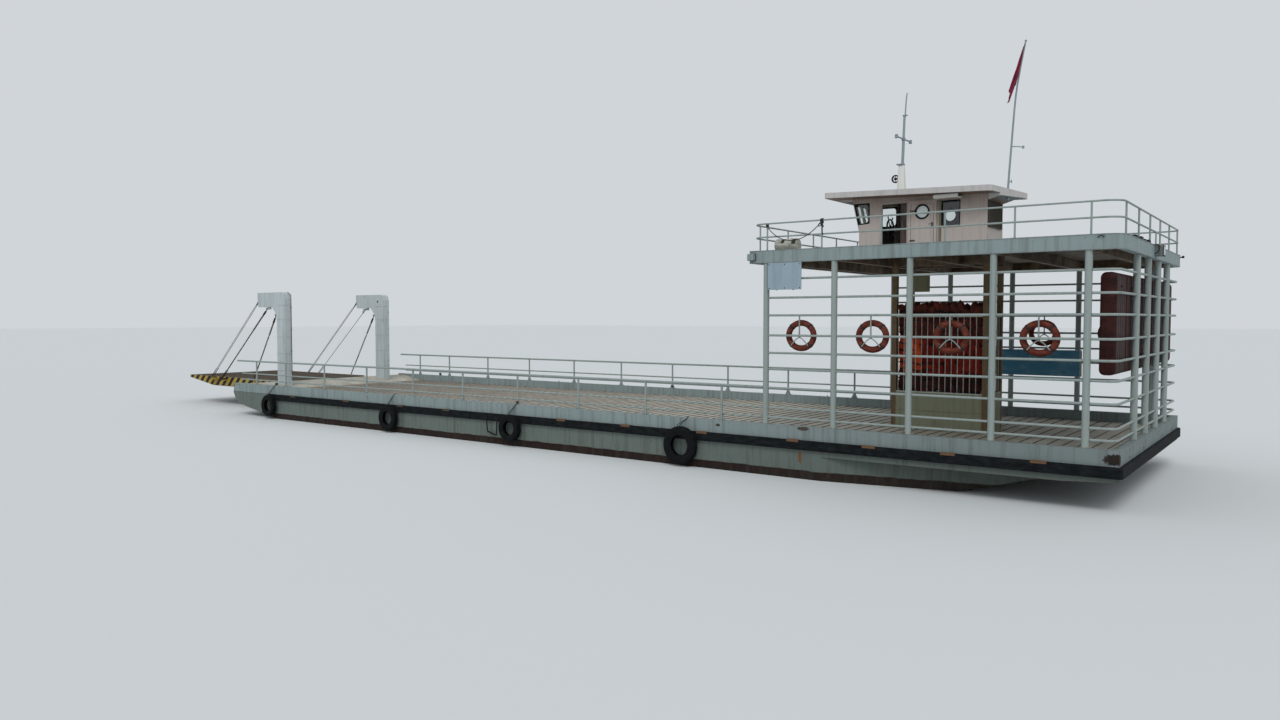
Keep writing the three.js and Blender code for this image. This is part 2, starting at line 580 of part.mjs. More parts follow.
function buildHouse() {
  const { aft, front, half, wall, floor, lean } = HOUSE;
  const base = ROOF.top;
  const hole = box([SQUARE_WINDOW.aft, SQUARE_WINDOW.front], [0, half + 1],
    [base + SQUARE_WINDOW.bottom, base + SQUARE_WINDOW.top]);
  const { out, top, drop, thick } = SASH;
  const sash = crossCut([
    [half - 10, top], [half + out, top - drop], [half + out, top - drop - thick], [half - 10, top - thick],
  ], SASH.aft, SASH.front);
  add('house_port', join(sideWall('port').subtract(hole), sash), COLOURS.house);
  const { x, z, r } = PORTHOLE;
  const round = bar([x, 0, z], [x, half + 1, z], r, 20);
  add('house_starboard', mirrored(sideWall('starboard').subtract(round), -1), COLOURS.house);
  const inner = half - wall - CUT;
  const panes = FRONT_PANES.y.map((y) => box([front - 500, front + 500],
    [y - FRONT_PANES.half, y + FRONT_PANES.half], [base + FRONT_PANES.bottom, base + FRONT_PANES.top]));
  const frontWall = sideCut([
    [front - wall, floor], [front, floor], [front, base + 640], [front + lean, eaveAt(front + lean) - CUT],
    [front + lean - wall, eaveAt(front + lean - wall) - CUT], [front - wall, base + 640],
  ], -inner, inner);
  add('house_front', panes.reduce((form, pane) => form.subtract(pane), frontWall), COLOURS.house);
  const { y: [right, left], bottom, top: head, pane } = AFT_WINDOW;
  const aftWall = box([aft, aft + wall], [-inner, inner], [floor, eaveAt(aft) - CUT - 2]);
  const opening = box([aft - 10, aft + wall + 10], [right, left], [base + bottom, base + head]);
  add('house_aft', aftWall.subtract(opening), COLOURS.house);
  add('aft_window', box([aft + 20, aft + 20 + pane], [right + CUT, left - CUT],
    [base + bottom + CUT, base + head - CUT]), COLOURS.glass);
}

// Sloping wheelhouse roof with clipped corners, a box under its front overhang and a wedge under its aft one.
function buildEave() {
  const { aft, front, half, low, high, thick } = EAVE;
  const { aft: edge, corner } = EAVE_PLAN;
  const slope = sideCut([[aft, low], [front, high], [front, high + thick], [aft, low + thick]], -half, half);
  const plan = planCut([
    ...edge, [front - corner, half], [front, half - corner], [front, corner - half], [front - corner, -half],
  ], low - 200, high + thick + 100);
  const wallTop = HOUSE.front + HOUSE.lean + CUT;
  const [near, far] = [wallTop + 4, front - BROW.short];
  const brow = sideCut([
    [near, eaveAt(near) - BROW.near], [far, eaveAt(far) - BROW.far], [far + 40, eaveAt(far + 40) + 5],
    [near, eaveAt(near) + 5],
  ], -BROW.half, BROW.half);
  const behind = HOUSE.aft - CUT;
  const wedge = sideCut([
    [behind, eaveAt(behind) - BROW.wedge], [behind, eaveAt(behind) + 5], [aft + 20, eaveAt(aft) + 5],
  ], -BROW.half, BROW.half);
  add('wheelhouse_roof', join(slope.intersect(plan), brow, wedge.intersect(plan)), COLOURS.house);
}

// A wheelhouse door: closed it stands in the doorway, open it lies back against the wall behind it.
function leaf(s, closed) {
  const { hinge, out, from, to, thick, bottom, top } = LEAF;
  const near = closed ? out - thick + 10 : out - 10;
  const [start, end] = closed ? [hinge + from, hinge + to] : [hinge - to, hinge - from];
  const panel = box([start, end], [near, near + thick], [ROOF.top + bottom, ROOF.top + top]);
  const middle = (start + end) / 2;
  const hole = bar([middle, 0, PORTHOLE.z], [middle, out + 300, PORTHOLE.z], PORTHOLE.r, 20);
  return mirrored(panel.subtract(hole), s);
}

function buildHelm() {
  const base = ROOF.top + CUT;
  const { x, z, r } = WHEEL;
  const desk = sideCut([
    [x + 100, base], [x + 500, base], [x + 500, base + 760], [x + 380, base + 860], [x + 100, base + 800],
  ], -520, 520);
  const rim = torus(r, 18, 16, 6).rotate([0, 0, 90]).translate([x, 0, z]);
  const spokes = [0, 60, 120].map((angle) => {
    const [across, up] = [r * Math.cos(angle * Math.PI / 180), r * Math.sin(angle * Math.PI / 180)];
    return bar([x, across, z + up], [x, -across, z - up], 10, 4);
  });
  const hub = bar([x - 30, 0, z], [x + 120, 0, z], 40, 8);
  add('helm', join(desk, rim, spokes, hub), COLOURS.wood);
}

// Lamp mast with a cross arm, a whip aerial and a ring horn, stood on a tapered box.
function buildMast() {
  const { x, foot: footTop, top, low, high, plate: lip, r, lean } = MAST;
  const base = eaveAt(x) + EAVE.thick + 16;
  const corners = [low, high].flatMap(([a, b], i) => [-a, a].flatMap((dx) => [-b, b].map((y) =>
    [x + dx, y, i ? footTop : base])));
  const foot = wasm.Manifold.hull(corners);
  const plate = box([x + 30 - lip, x + 30 + lip], [-lip, lip], [footTop - 20, footTop + 20]);
  const pole = bar([x - 20, 0, footTop - 70], [x - 20 - lean, 0, top], r, 8, r * 0.8);
  const { z, reach, half, lamp } = CROSS_ARM;
  const arm = box([x - lean - half, x - lean + half], [-reach, reach], [z - half, z + half]);
  const lamps = [-reach, reach].map((y) => bar([x - lean, y, z - lamp], [x - lean, y, z + lamp], lamp, 8));
  const start = x - 20 - WHIP.aft;
  const aerial = bar([start, 0, top - 40], [start - WHIP.lean, 0, WHIP.top], WHIP.r, 6);
  const cap = box([start - WHIP.aft, x - 20], [-WHIP.cap, WHIP.cap], [top - 35, top - 5]);
  const horn = torus(HORN.r, HORN.tube, 14, 6).translate([x + HORN.x, 0, HORN.z]);
  const stalk = box([x + high[0] - 20, x + HORN.x - HORN.r + 10], [-20, 20], [HORN.z - 25, HORN.z + 25]);
  add('mast', join(foot, plate, pole, arm, lamps, aerial, cap, horn, stalk), COLOURS.mast);
}

// Bent flagstaff with a short arm, and the flag hanging limp on its forward side.
function buildFlag() {
  const { route, foot, r, arm, bar: thin } = STAFF;
  const points = [[foot, eaveAt(foot) + EAVE.thick + 8], ...route];
  const radii = points.map((_, i) => r - 2 * i);
  const staff = points.slice(1).map(([x, z], i) =>
    bar([points[i][0], 0, points[i][1] - (i ? 15 : 0)], [x, 0, z], radii[i], 8, radii[i + 1]));
  const [x, z] = route[0];
  const side = box([x - arm, x], [-thin, thin], [z - thin, z + thin]);
  add('flagstaff', join(staff, side), COLOURS.rail);
  add('flag', sideCut(FLAG, -25, 25), COLOURS.cloth);
}

function buildSternGear() {
  const blade = box([-20, 20], [-95, 95], [0, SCREW.r - 10]).rotate([0, 0, 35]);
  const blades = Array.from({ length: SCREW.blades }, (_, i) => blade.rotate([i * 360 / SCREW.blades, 0, 0]));
  const screw = join(bar([-110, 0, 0], [100, 0, 0], SCREW.hub, 12), blades);
  const { x, length, thick, bottom, top, stock, stockTop } = RUDDER;
  const y = SHAFT.y;
  const rudder = join(
    box([x - length, x + 140], [y - thick / 2, y + thick / 2], [bottom, top]),
    bar([x, y, top - 10], [x, y, stockTop], stock, 10),
  );
  SIDES.forEach(({ side, s }) => {
    add(`propeller_${side}`, screw.translate([SHAFT.x, s * y, SHAFT.z]), COLOURS.bronze);
    add(`rudder_${side}`, mirrored(rudder, s), COLOURS.hull);
  });
}

buildHull();
buildTyres();
buildRamp();
SIDES.forEach((way) => {
  buildGantry(way);
  buildLines(way);
  buildSideRail(way);
  buildCageSide(way);
});
buildCageStern();
buildRoof();
buildRoofRail();
buildGarland();
buildDrum();
buildCasing();
buildRings();
buildFloats();
buildBoards();
buildHouse();
buildEave();
add('door_port', leaf(1, false), COLOURS.house);
add('door_starboard', leaf(-1, true), COLOURS.house);
buildHelm();
buildMast();
buildFlag();
buildSternGear();

export default ferry;
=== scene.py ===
"""Passenger ferry with its bow ramp lowered, dressed over its frame. Metres; +X bow, +Y port, +Z up."""
import math
import random

import bmesh
import bpy
from mathutils import Euler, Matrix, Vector


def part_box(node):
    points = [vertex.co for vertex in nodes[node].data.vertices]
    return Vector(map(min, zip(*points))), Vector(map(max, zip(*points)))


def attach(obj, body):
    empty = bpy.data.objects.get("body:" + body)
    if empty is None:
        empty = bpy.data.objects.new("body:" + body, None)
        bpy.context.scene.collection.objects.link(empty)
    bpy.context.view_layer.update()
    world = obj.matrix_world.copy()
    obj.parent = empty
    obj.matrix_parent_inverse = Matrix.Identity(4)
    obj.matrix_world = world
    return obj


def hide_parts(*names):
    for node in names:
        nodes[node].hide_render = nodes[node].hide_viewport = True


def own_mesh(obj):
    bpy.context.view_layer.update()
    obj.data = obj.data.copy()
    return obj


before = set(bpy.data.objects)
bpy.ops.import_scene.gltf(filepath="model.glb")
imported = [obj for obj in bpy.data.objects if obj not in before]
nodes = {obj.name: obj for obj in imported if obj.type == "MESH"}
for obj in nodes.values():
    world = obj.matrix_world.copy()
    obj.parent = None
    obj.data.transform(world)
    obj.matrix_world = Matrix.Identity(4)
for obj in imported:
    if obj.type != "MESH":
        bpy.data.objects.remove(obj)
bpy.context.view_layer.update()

# Camera
# It stands off the port quarter, 2.6 m above the deck edge, with the lens and the slight downward tilt that
# show the ferry as the photograph does.
camera = bpy.data.objects.new("view_camera", bpy.data.cameras.new("view_camera"))
camera.data.lens = 25.96
camera.data.sensor_width = 36.0
camera.data.clip_end = 1000.0
camera.location = (-19.48, 24.18, 4.83)
camera.rotation_euler = Vector((0.6006, -0.7996, -0.0444)).to_track_quat("-Z", "Y").to_euler()
bpy.context.scene.collection.objects.link(camera)
bpy.context.scene.camera = camera
bpy.context.scene.view_settings.view_transform = "Standard"


# Rope garland on the roof rail
# Black laid polypropylene, 20 mm thick, knotted to the first two posts of the port rail and left hanging in a
# bight between them. A bunch of turns with loose ends makes the after knot.
def linear(hex_colour):
    """An sRGB hex colour as the linear red, green, blue and alpha that a socket takes."""
    parts = [int(hex_colour[i:i + 2], 16) / 255 for i in (1, 3, 5)]
    return [p / 12.92 if p <= 0.04045 else ((p + 0.055) / 1.055) ** 2.4 for p in parts] + [1.0]


def add(tree, kind, links=None, stops=(), **settings):
    """Adds a node. links maps sockets to values or to other nodes' outputs; stops are a colour ramp's."""
    node = tree.nodes.new("ShaderNode" + kind)
    for setting, value in settings.items():
        setattr(node, setting, value)
    for socket, value in (links or {}).items():
        if isinstance(value, bpy.types.NodeSocket):
            tree.links.new(value, node.inputs[socket])
        else:
            node.inputs[socket].default_value = value
    for element, (position, colour) in zip(node.color_ramp.elements if stops else (), stops):
        element.position, element.color = position, linear(colour)
    return node


def new_finish(name, **sockets):
    """An empty finish: its material, node tree, shader and the place on the ferry in metres."""
    material = bpy.data.materials.new(name)
    material.use_nodes = True
    tree = material.node_tree
    shader = tree.nodes["Principled BSDF"]
    for socket, value in sockets.items():
        shader.inputs[socket.replace("_", " ")].default_value = value
    return material, tree, shader, add(tree, "TexCoord").outputs["Object"]


class Form:
    """Closed forms gathered into one mesh."""

    def __init__(self):
        self.points = []
        self.faces = []

    def rings(self, rings, closed=False, capped=True):
        """Skins over rings of equally many points."""
        start, count = len(self.points), len(rings[0])
        for ring in rings:
            self.points.extend(Vector(point) for point in ring)
        for i in range(len(rings) if closed else len(rings) - 1):
            a, b = start + i * count, start + (i + 1) % len(rings) * count
            for k in range(count):
                n = (k + 1) % count
                self.faces.append((a + k, a + n, b + n, b + k))
        if capped and not closed:
            last = start + (len(rings) - 1) * count
            self.faces.append(tuple(range(start + count - 1, start - 1, -1)))
            self.faces.append(tuple(range(last, last + count)))
        return self

    def tube(self, route, radius, sides=12, closed=False):
        """A round bar along a route, with one radius or one for each point."""
        points = [Vector(point) for point in route]
        radii = radius if isinstance(radius, (list, tuple)) else [radius] * len(points)
        ways = []
        for i, point in enumerate(points):
            before = points[i - 1] if closed or i else point
            after = points[(i + 1) % len(points)] if closed or i < len(points) - 1 else point
            ways.append((after - before).normalized())
        across = ways[0].orthogonal().normalized()
        sections = []
        for i, (point, way, reach) in enumerate(zip(points, ways, radii)):
            if i:
                across = ways[i - 1].rotation_difference(way) @ across
            up = way.cross(across)
            turns = [2 * math.pi * k / sides for k in range(sides)]
            sections.append([point + reach * (math.cos(t) * across + math.sin(t) * up) for t in turns])
        return self.rings(sections, closed)

    def turned(self, profile, centre, axis, sides=32, hollow=False):
        """A form turned round an axis. profile is [radius, height]; a hollow one is a closed outline."""
        way = Vector(axis).normalized()
        across = way.orthogonal().normalized()
        turns = [2 * math.pi * k / sides for k in range(sides)]
        spokes = [math.cos(t) * across + math.sin(t) * way.cross(across) for t in turns]
        centre = Vector(centre)
        if hollow:
            return self.rings([[centre + spoke * r + way * h for r, h in profile] for spoke in spokes], True)
        return self.rings([[centre + spoke * r + way * h for spoke in spokes] for r, h in profile])

    def block(self, low, high, edge=0.004):
        """A box with its edges taken off."""
        (x0, y0, z0), (x1, y1, z1) = low, high
        edge = min(edge, (x1 - x0) / 3, (y1 - y0) / 3, (z1 - z0) / 3)

        def ring(z, inset):
            x2, x3, y2, y3 = x0 + inset, x1 - inset, y0 + inset, y1 - inset
            e = edge
            return [(x2 + e, y2, z), (x3 - e, y2, z), (x3, y2 + e, z), (x3, y3 - e, z), (x3 - e, y3, z),
                    (x2 + e, y3, z), (x2, y3 - e, z), (x2, y2 + e, z)]
        return self.rings([ring(z0, edge * 0.9), ring(z0 + edge, 0), ring(z1 - edge, 0),
                           ring(z1, edge * 0.9)])

    def plate(self, outline, way):
        """A flat outline of points with a thickness given as a vector."""
        return self.rings([outline, [Vector(point) + Vector(way) for point in outline]])

    def piece(self, name, finish, slot, body="hull", replaced=(), sharp=35):
        """Makes the piece, which rides on a body of the frame."""
        mesh = bpy.data.meshes.new(name)
        mesh.from_pydata(self.points, [], self.faces)
        tool = bmesh.new()
        tool.from_mesh(mesh)
        bmesh.ops.recalc_face_normals(tool, faces=tool.faces)
        tool.to_mesh(mesh)
        tool.free()
        mesh.shade_smooth()
        mesh.set_sharp_from_angle(angle=math.radians(sharp))
        mesh.materials.append(finish)
        made = bpy.data.objects.new(name, mesh)
        bpy.context.scene.collection.objects.link(made)
        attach(made, body)
        if replaced:
            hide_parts(*replaced)
        return made


def smooth_route(points, steps=4):
    """Points on a curve through the given ones."""
    points = [Vector(point) for point in points]
    ends = [2 * points[0] - points[1]] + points + [2 * points[-1] - points[-2]]
    route = []
    for a, b, c, d in zip(ends, ends[1:], ends[2:], ends[3:]):
        for i in range(steps):
            t = i / steps
            route.append(0.5 * (2 * b + (c - a) * t + (2 * a - 5 * b + 4 * c - d) * t * t
                                + (3 * b - 3 * c + d - a) * t * t * t))
    return route + [points[-1]]


# Polypropylene rope: split film fibres, matt, its three strands showing as slanting bands 14 mm apart.
rope_black, tree, shader, place = new_finish("laid_polypropylene_rope", Roughness=0.8)
bands = add(tree, "TexWave", {"Vector": place, "Scale": 22.0, "Distortion": 1.5, "Detail": 2.0},
            bands_direction="DIAGONAL")
tint = add(tree, "ValToRGB", {"Fac": bands.outputs["Fac"]}, stops=((0.0, "#0c0d0e"), (1.0, "#2b2d2f")))
bump = add(tree, "Bump", {"Height": bands.outputs["Fac"], "Distance": 0.004, "Strength": 0.8})
tree.links.new(tint.outputs["Color"], shader.inputs["Base Color"])
tree.links.new(bump.outputs["Normal"], shader.inputs["Normal"])

ROOF_TOP = 6.51
GARLAND_Y = 4.152
ROPE = 0.02
GARLAND = [
    (-8.320, 0.600), (-8.360, 0.540), (-8.440, 0.450), (-8.540, 0.365), (-8.650, 0.295), (-8.780, 0.240),
    (-8.920, 0.212), (-9.060, 0.208), (-9.200, 0.232), (-9.330, 0.278), (-9.450, 0.340), (-9.560, 0.415),
    (-9.650, 0.490), (-9.730, 0.560), (-9.774, 0.600),
]


def free_rope(name, points):
    """A rope as one open curve along points."""
    line = bpy.data.curves.new(name, "CURVE")
    line.dimensions = "3D"
    line.bevel_depth = ROPE / 2
    line.bevel_resolution = 3
    line.use_fill_caps = True
    spline = line.splines.new("POLY")
    spline.points.add(len(points) - 1)
    for point, at in zip(spline.points, points):
        point.co = (*at, 1.0)
    line.materials.append(rope_black)
    rope = bpy.data.objects.new(name, line)
    bpy.context.scene.collection.objects.link(rope)
    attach(rope, "hull")
    return rope


route = smooth_route([(x, GARLAND_Y, ROOF_TOP + z) for x, z in GARLAND])
garland = free_rope("rope_garland", route)
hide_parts("garland")

knots = Form()
for x, turns, reach in ((-8.32, 3, 0.032), (-9.774, 6, 0.036)):
    for i in range(turns):
        z = ROOF_TOP + 0.585 + 0.018 * i
        spin = [2 * math.pi * k / 14 for k in range(14)]
        knots.tube([(x + reach * math.cos(t), 4.12 + reach * math.sin(t), z + 0.006 * math.sin(t + i))
                    for t in spin], ROPE / 2, 8, True)
# Two small loops of the bunched knot.
for lean, drop in ((-0.05, 0.115), (0.05, 0.095)):
    knots.tube(smooth_route([
        (-9.774, 4.165, ROOF_TOP + 0.60), (-9.774 + lean, 4.185, ROOF_TOP + 0.60 - drop * 0.5),
        (-9.774 + lean * 1.3, 4.175, ROOF_TOP + 0.60 - drop),
                             (-9.774 + lean * 0.3, 4.16, ROOF_TOP + 0.62 - drop),
        (-9.774, 4.16, ROOF_TOP + 0.59),
    ]), ROPE / 2, 8)
rope_knots = knots.piece("rope_knots", rope_black, "rope_fibre")
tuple(route[0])
tail_route = smooth_route([
    (-9.795, 4.160, ROOF_TOP + 0.590), (-9.805, 4.172, ROOF_TOP + 0.54), (-9.810, 4.172, ROOF_TOP + 0.46),
    (-9.812, 4.172, ROOF_TOP + 0.38), (-9.818, 4.172, ROOF_TOP + 0.30),
])
tail = free_rope("rope_tail", tail_route)
whipping = Form().tube([(-9.8175, 4.172, ROOF_TOP + 0.325), (-9.8185, 4.172, ROOF_TOP + 0.292)], 0.0125, 10)
whipped = whipping.piece("rope_tail_whipping", rope_black, "rope_fibre")
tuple(tail_route[0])


# Hull
# A welded steel barge form, brush painted: a pale blue-grey band along the deck edge, grey-green sides, dark
# red below the waterline and worn sandy grey on the car deck. Rust runs down from seams and fittings.
def region(tree, *limits):
    """1 inside all the limits and 0 outside them. Each is a number, its limit and half the soft edge's width.
    Inside, the number is over its limit, or under it where that half width is negative."""
    inside = 1.0
    for value, at, soft in limits:
        mask = add(tree, "MapRange",
                   {"Value": value, "From Min": at - soft, "From Max": at + soft}).outputs[0]
        inside = add(tree, "Math", {0: mask, 1: inside}, operation="MULTIPLY").outputs[0]
    return inside


def weathered_paint(name, coat, grime="#3f3b33", rusting=0.45, streaks=0.5, fading=0.25, rough=0.55,
                    edge=0.012):
    """Brushed enamel on steel: faded in clouds, streaked by rain, chipped and rusted at its edges."""
    material, tree, shader, place = new_finish(name, Roughness=rough, Specular_IOR_Level=0.25)
    colour = coat(tree, place) if callable(coat) else linear(coat)
    # The coat fades and chalks in patches 1 to 2 m wide, with brush marks a few cm apart.
    cloud = add(tree, "TexNoise",
                {"Vector": place, "Scale": 0.8, "Detail": 5.0, "Roughness": 0.6}).outputs["Fac"]
    chalk = add(tree, "MapRange",
                {"Value": cloud, "From Min": 0.35, "From Max": 0.7, "To Max": fading}).outputs[0]
    faded = add(tree, "HueSaturation", {"Saturation": 0.8, "Value": 1.22, "Color": colour}).outputs[0]
    colour = add(tree, "Mix", {0: chalk, 6: colour, 7: faded}, data_type="RGBA").outputs[2]
    # Rain washes grime down in streaks about 5 cm wide and a metre or more long.
    drawn = add(tree, "Mapping", {"Vector": place, "Scale": (9.0, 9.0, 0.45)}).outputs[0]
    rain = add(tree, "TexNoise",
               {"Vector": drawn, "Scale": 1.0, "Detail": 6.0, "Roughness": 0.65}).outputs["Fac"]
    wash = add(tree, "MapRange",
               {"Value": rain, "From Min": 0.48, "From Max": 0.75, "To Max": streaks}).outputs[0]
    colour = add(tree, "Mix", {0: wash, 6: colour, 7: linear(grime)}, data_type="RGBA").outputs[2]
    # Rust blooms in spots of a few cm, thickest where the paint has chipped off an edge.
    normal = add(tree, "Bevel", {"Radius": edge}, samples=4).outputs[0]
    true = add(tree, "NewGeometry").outputs["Normal"]
    flat = add(tree, "VectorMath", {0: normal, 1: true}, operation="DOT_PRODUCT").outputs["Value"]
    worn = add(tree, "MapRange",
               {"Value": flat, "From Min": 0.995, "From Max": 0.8, "To Max": 0.22}).outputs[0]
    spots = add(tree, "TexNoise",
                {"Vector": place, "Scale": 5.0, "Detail": 9.0, "Roughness": 0.72}).outputs["Fac"]
    near = add(tree, "Math", {0: spots, 1: worn}, operation="ADD").outputs[0]
    near = add(tree, "Math", {0: near, 1: 0.12 * (rusting - 0.5)}, operation="ADD").outputs[0]
    bloom = add(tree, "MapRange", {"Value": near, "From Min": 0.63, "From Max": 0.72}).outputs[0]
    grain = add(tree, "TexNoise", {"Vector": place, "Scale": 60.0, "Detail": 4.0}).outputs["Fac"]
    scale = add(tree, "ValToRGB", {"Fac": grain}, stops=((0.35, "#3a2116"), (0.65, "#8a5530")))
    colour = add(tree, "Mix", {0: bloom, 6: colour, 7: scale.outputs[0]}, data_type="RGBA").outputs[2]
    tree.links.new(colour, shader.inputs["Base Color"])
    dull = add(tree, "MapRange", {"Value": near, "From Min": 0.4, "From Max": 0.7, "To Min": rough,
                                  "To Max": 0.9}).outputs[0]
    tree.links.new(dull, shader.inputs["Roughness"])
    height = add(tree, "Math", {0: grain, 1: bloom}, operation="MULTIPLY").outputs[0]
    height = add(tree, "Math", {0: height, 1: cloud}, operation="ADD").outputs[0]
    bump = add(tree, "Bump", {"Height": height, "Distance": 0.004, "Strength": 0.6, "Normal": normal})
    tree.links.new(bump.outputs[0], shader.inputs["Normal"])
    return material


EDGE = 2.25
BAND_LOW = EDGE - 0.33
WATERLINE = 0.98
BOOT_TOP = EDGE - 1.06
DECK_SIDE = 4.021
DECK_AFT = -16.045


def blot(tree, place, ragged, middle, size):
    """1 inside a ragged spot with the given middle and half sizes, 0 outside."""
    apart = add(tree, "Mapping", {"Vector": place, "Location": [-m / s for m, s in zip(middle, size)],
                                  "Scale": [1 / s for s in size]}).outputs[0]
    far = add(tree, "VectorMath", {0: apart}, operation="LENGTH").outputs["Value"]
    far = add(tree, "Math", {0: ragged, 1: 1.6, 2: far}, operation="MULTIPLY_ADD").outputs[0]
    return add(tree, "MapRange", {"Value": far, "From Min": 1.85, "From Max": 1.65}).outputs[0]


def hull_coats(tree, place):
    """The hull's paints by where they are: side, band, underwater red and deck."""
    part = add(tree, "SeparateXYZ", {"Vector": place})
    up = add(tree, "SeparateXYZ", {"Vector": add(tree, "NewGeometry").outputs["Normal"]}).outputs["Z"]
    ragged = add(tree, "TexNoise", {"Vector": place, "Scale": 3.0, "Detail": 6.0}).outputs["Fac"]
    z = add(tree, "Math", {0: ragged, 1: 0.06, 2: part.outputs["Z"]}, operation="MULTIPLY_ADD").outputs[0]
    dry = region(tree, (z, BOOT_TOP + 0.03, 0.01))
    colour = add(tree, "Mix", {0: dry, 6: linear("#220d08"), 7: linear("#66716b")},
                 data_type="RGBA").outputs[2]
    band = region(tree, (part.outputs["Z"], BAND_LOW, 0.004))
    colour = add(tree, "Mix", {0: band, 6: colour, 7: linear("#879494")}, data_type="RGBA").outputs[2]
    # Darker towards the stern, and far darker on faces turned down: painted shade where the hull turns under.
    darker_aft = add(tree, "MapRange", {"Value": part.outputs["X"], "From Min": -5.0, "From Max": -13.5,
                                  "To Max": 0.3}).outputs[0]
    under = add(tree, "MapRange",
                {"Value": up, "From Min": -0.02, "From Max": -0.2, "To Max": 0.62}).outputs[0]
    dull = add(tree, "Math", {0: darker_aft, 1: under}, operation="MAXIMUM").outputs[0]
    colour = add(tree, "Mix", {0: dull, 6: colour, 7: linear("#2a2c26")}, data_type="RGBA").outputs[2]
    # Knocks have stripped the stern corner and nicked the band, and one rust streak runs down from a seam.
    torn = add(tree, "TexNoise",
               {"Vector": place, "Scale": 9.0, "Detail": 5.0, "Roughness": 0.7}).outputs["Fac"]
    for middle, size, stain in (((-16.10, 4.15, EDGE - 0.19), (0.20, 0.14, 0.12), "#241c17"),
                                ((-9.28, 4.20, EDGE - 0.75), (0.05, 0.20, 0.18), "#6b4a31"),
                                ((-16.25, 3.05, EDGE - 0.10), (0.06, 0.09, 0.04), "#2f241c"),
                                ((-16.25, 1.10, EDGE - 0.12), (0.06, 0.07, 0.05), "#2f241c"),
                                ((-9.35, 4.18, EDGE - 0.06), (0.16, 0.09, 0.05), "#4b4136"),
                                ((-6.95, 4.18, EDGE - 0.13), (0.07, 0.09, 0.04), "#3a3028")):
        spot = blot(tree, place, torn, middle, size)
        colour = add(tree, "Mix", {0: spot, 6: colour, 7: linear(stain)}, data_type="RGBA").outputs[2]
    # Slime and silt stain the sides for a hand's breadth over the waterline.
    silt = add(tree, "MapRange", {"Value": z, "From Min": WATERLINE + 0.22, "From Max": WATERLINE,
                                  "To Max": 0.75}).outputs[0]
    colour = add(tree, "Mix", {0: silt, 6: colour, 7: linear("#1f1c14")}, data_type="RGBA").outputs[2]
    side = add(tree, "Math", {0: part.outputs["Y"]}, operation="ABSOLUTE").outputs[0]
    deck = region(tree, (up, 0.7, 0.05), (side, DECK_SIDE, -0.002), (part.outputs["X"], DECK_AFT, 0.002))
    patch = add(tree, "TexNoise",
                {"Vector": place, "Scale": 1.6, "Detail": 7.0, "Roughness": 0.65}).outputs["Fac"]
    sand = add(tree, "ValToRGB", {"Fac": patch}, stops=((0.30, "#9a9486"), (0.70, "#bab7aa")))
    return add(tree, "Mix", {0: deck, 6: colour, 7: sand.outputs[0]}, data_type="RGBA").outputs[2]


def finish_node(name, finish):
    """Gives a carried-over solid its finish."""
    nodes[name].data.materials.clear()
    nodes[name].data.materials.append(finish)


# Marine enamel over mill-scaled plate: half matt, chalky, with rusty chips.
hull_enamel = weathered_paint("brushed_marine_enamel_hull", hull_coats, rusting=0.5, streaks=0.55)
finish_node("hull", hull_enamel)
for side in ("port", "starboard"):
    finish_node(f"rudder_{side}", hull_enamel)

DECK = 1.98
bars = Form()
for i in range(99):
    x = -15.9 + 0.31 * i
    bars.tube([(x, -4.0, DECK + 0.004), (x, 4.0, DECK + 0.004)], 0.011, 6)
# Round bar tacked across the deck for grip: its paint is worn through to dark rust.
bar_rust = weathered_paint("worn_round_bar", "#4a4136", rusting=0.9, streaks=0.2)
bars.piece("deck_grip_bars", bar_rust, "hull_paint")

seams = Form()
for s in (1, -1):
    y = s * 4.181
    for i in range(14):
        x = -13.4 + 2.05 * i
        low = max(0.36, 0.36 + (x - 6.9) * 0.105) if x > 6.9 else 0.36
        if x > -9.0:
            seams.tube([(x, y, low), (x, y, BAND_LOW - 0.24)], 0.005, 6)
    seams.tube([(-16.19, y, BAND_LOW), (16.15, y, BAND_LOW)], 0.006, 6)
    # Doubler round the ramp's end of the band.
    seams.tube([(15.70, y, BAND_LOW + 0.02), (15.70, y, EDGE - 0.05), (16.08, y, EDGE - 0.05)], 0.007, 6)
seams.piece("hull_weld_seams", hull_enamel, "hull_paint")

# Rubber strakes
# Extruded black rubber bolted round the deck edge, grey with dust, held down by rusty steel straps.
def worn_rubber(name, dark, dusty, rough=0.85, scale=4.0, shine=0.15):
    """Black rubber greyed by sun and dust, scuffed in smears."""
    material, tree, shader, place = new_finish(name, Roughness=rough, Specular_IOR_Level=shine)
    drawn = add(tree, "Mapping", {"Vector": place, "Scale": (1.0, 1.0, 3.0)}).outputs[0]
    smear = add(tree, "TexNoise",
                {"Vector": drawn, "Scale": scale, "Detail": 8.0, "Roughness": 0.7}).outputs["Fac"]
    tint = add(tree, "ValToRGB", {"Fac": smear}, stops=((0.42, dark), (0.72, dusty)))
    tree.links.new(tint.outputs[0], shader.inputs["Base Color"])
    grit = add(tree, "TexNoise", {"Vector": place, "Scale": 90.0, "Detail": 3.0}).outputs["Fac"]
    soft = add(tree, "Bevel", {"Radius": 0.02}, samples=4).outputs[0]
    bump = add(tree, "Bump", {"Height": grit, "Distance": 0.003, "Strength": 0.5, "Normal": soft})
    tree.links.new(bump.outputs[0], shader.inputs["Normal"])
    return material


strake_rubber = worn_rubber("extruded_strake_rubber", "#0b0e10", "#24292a")
for side in ("port", "starboard"):
    finish_node(f"strake_{side}", strake_rubber)
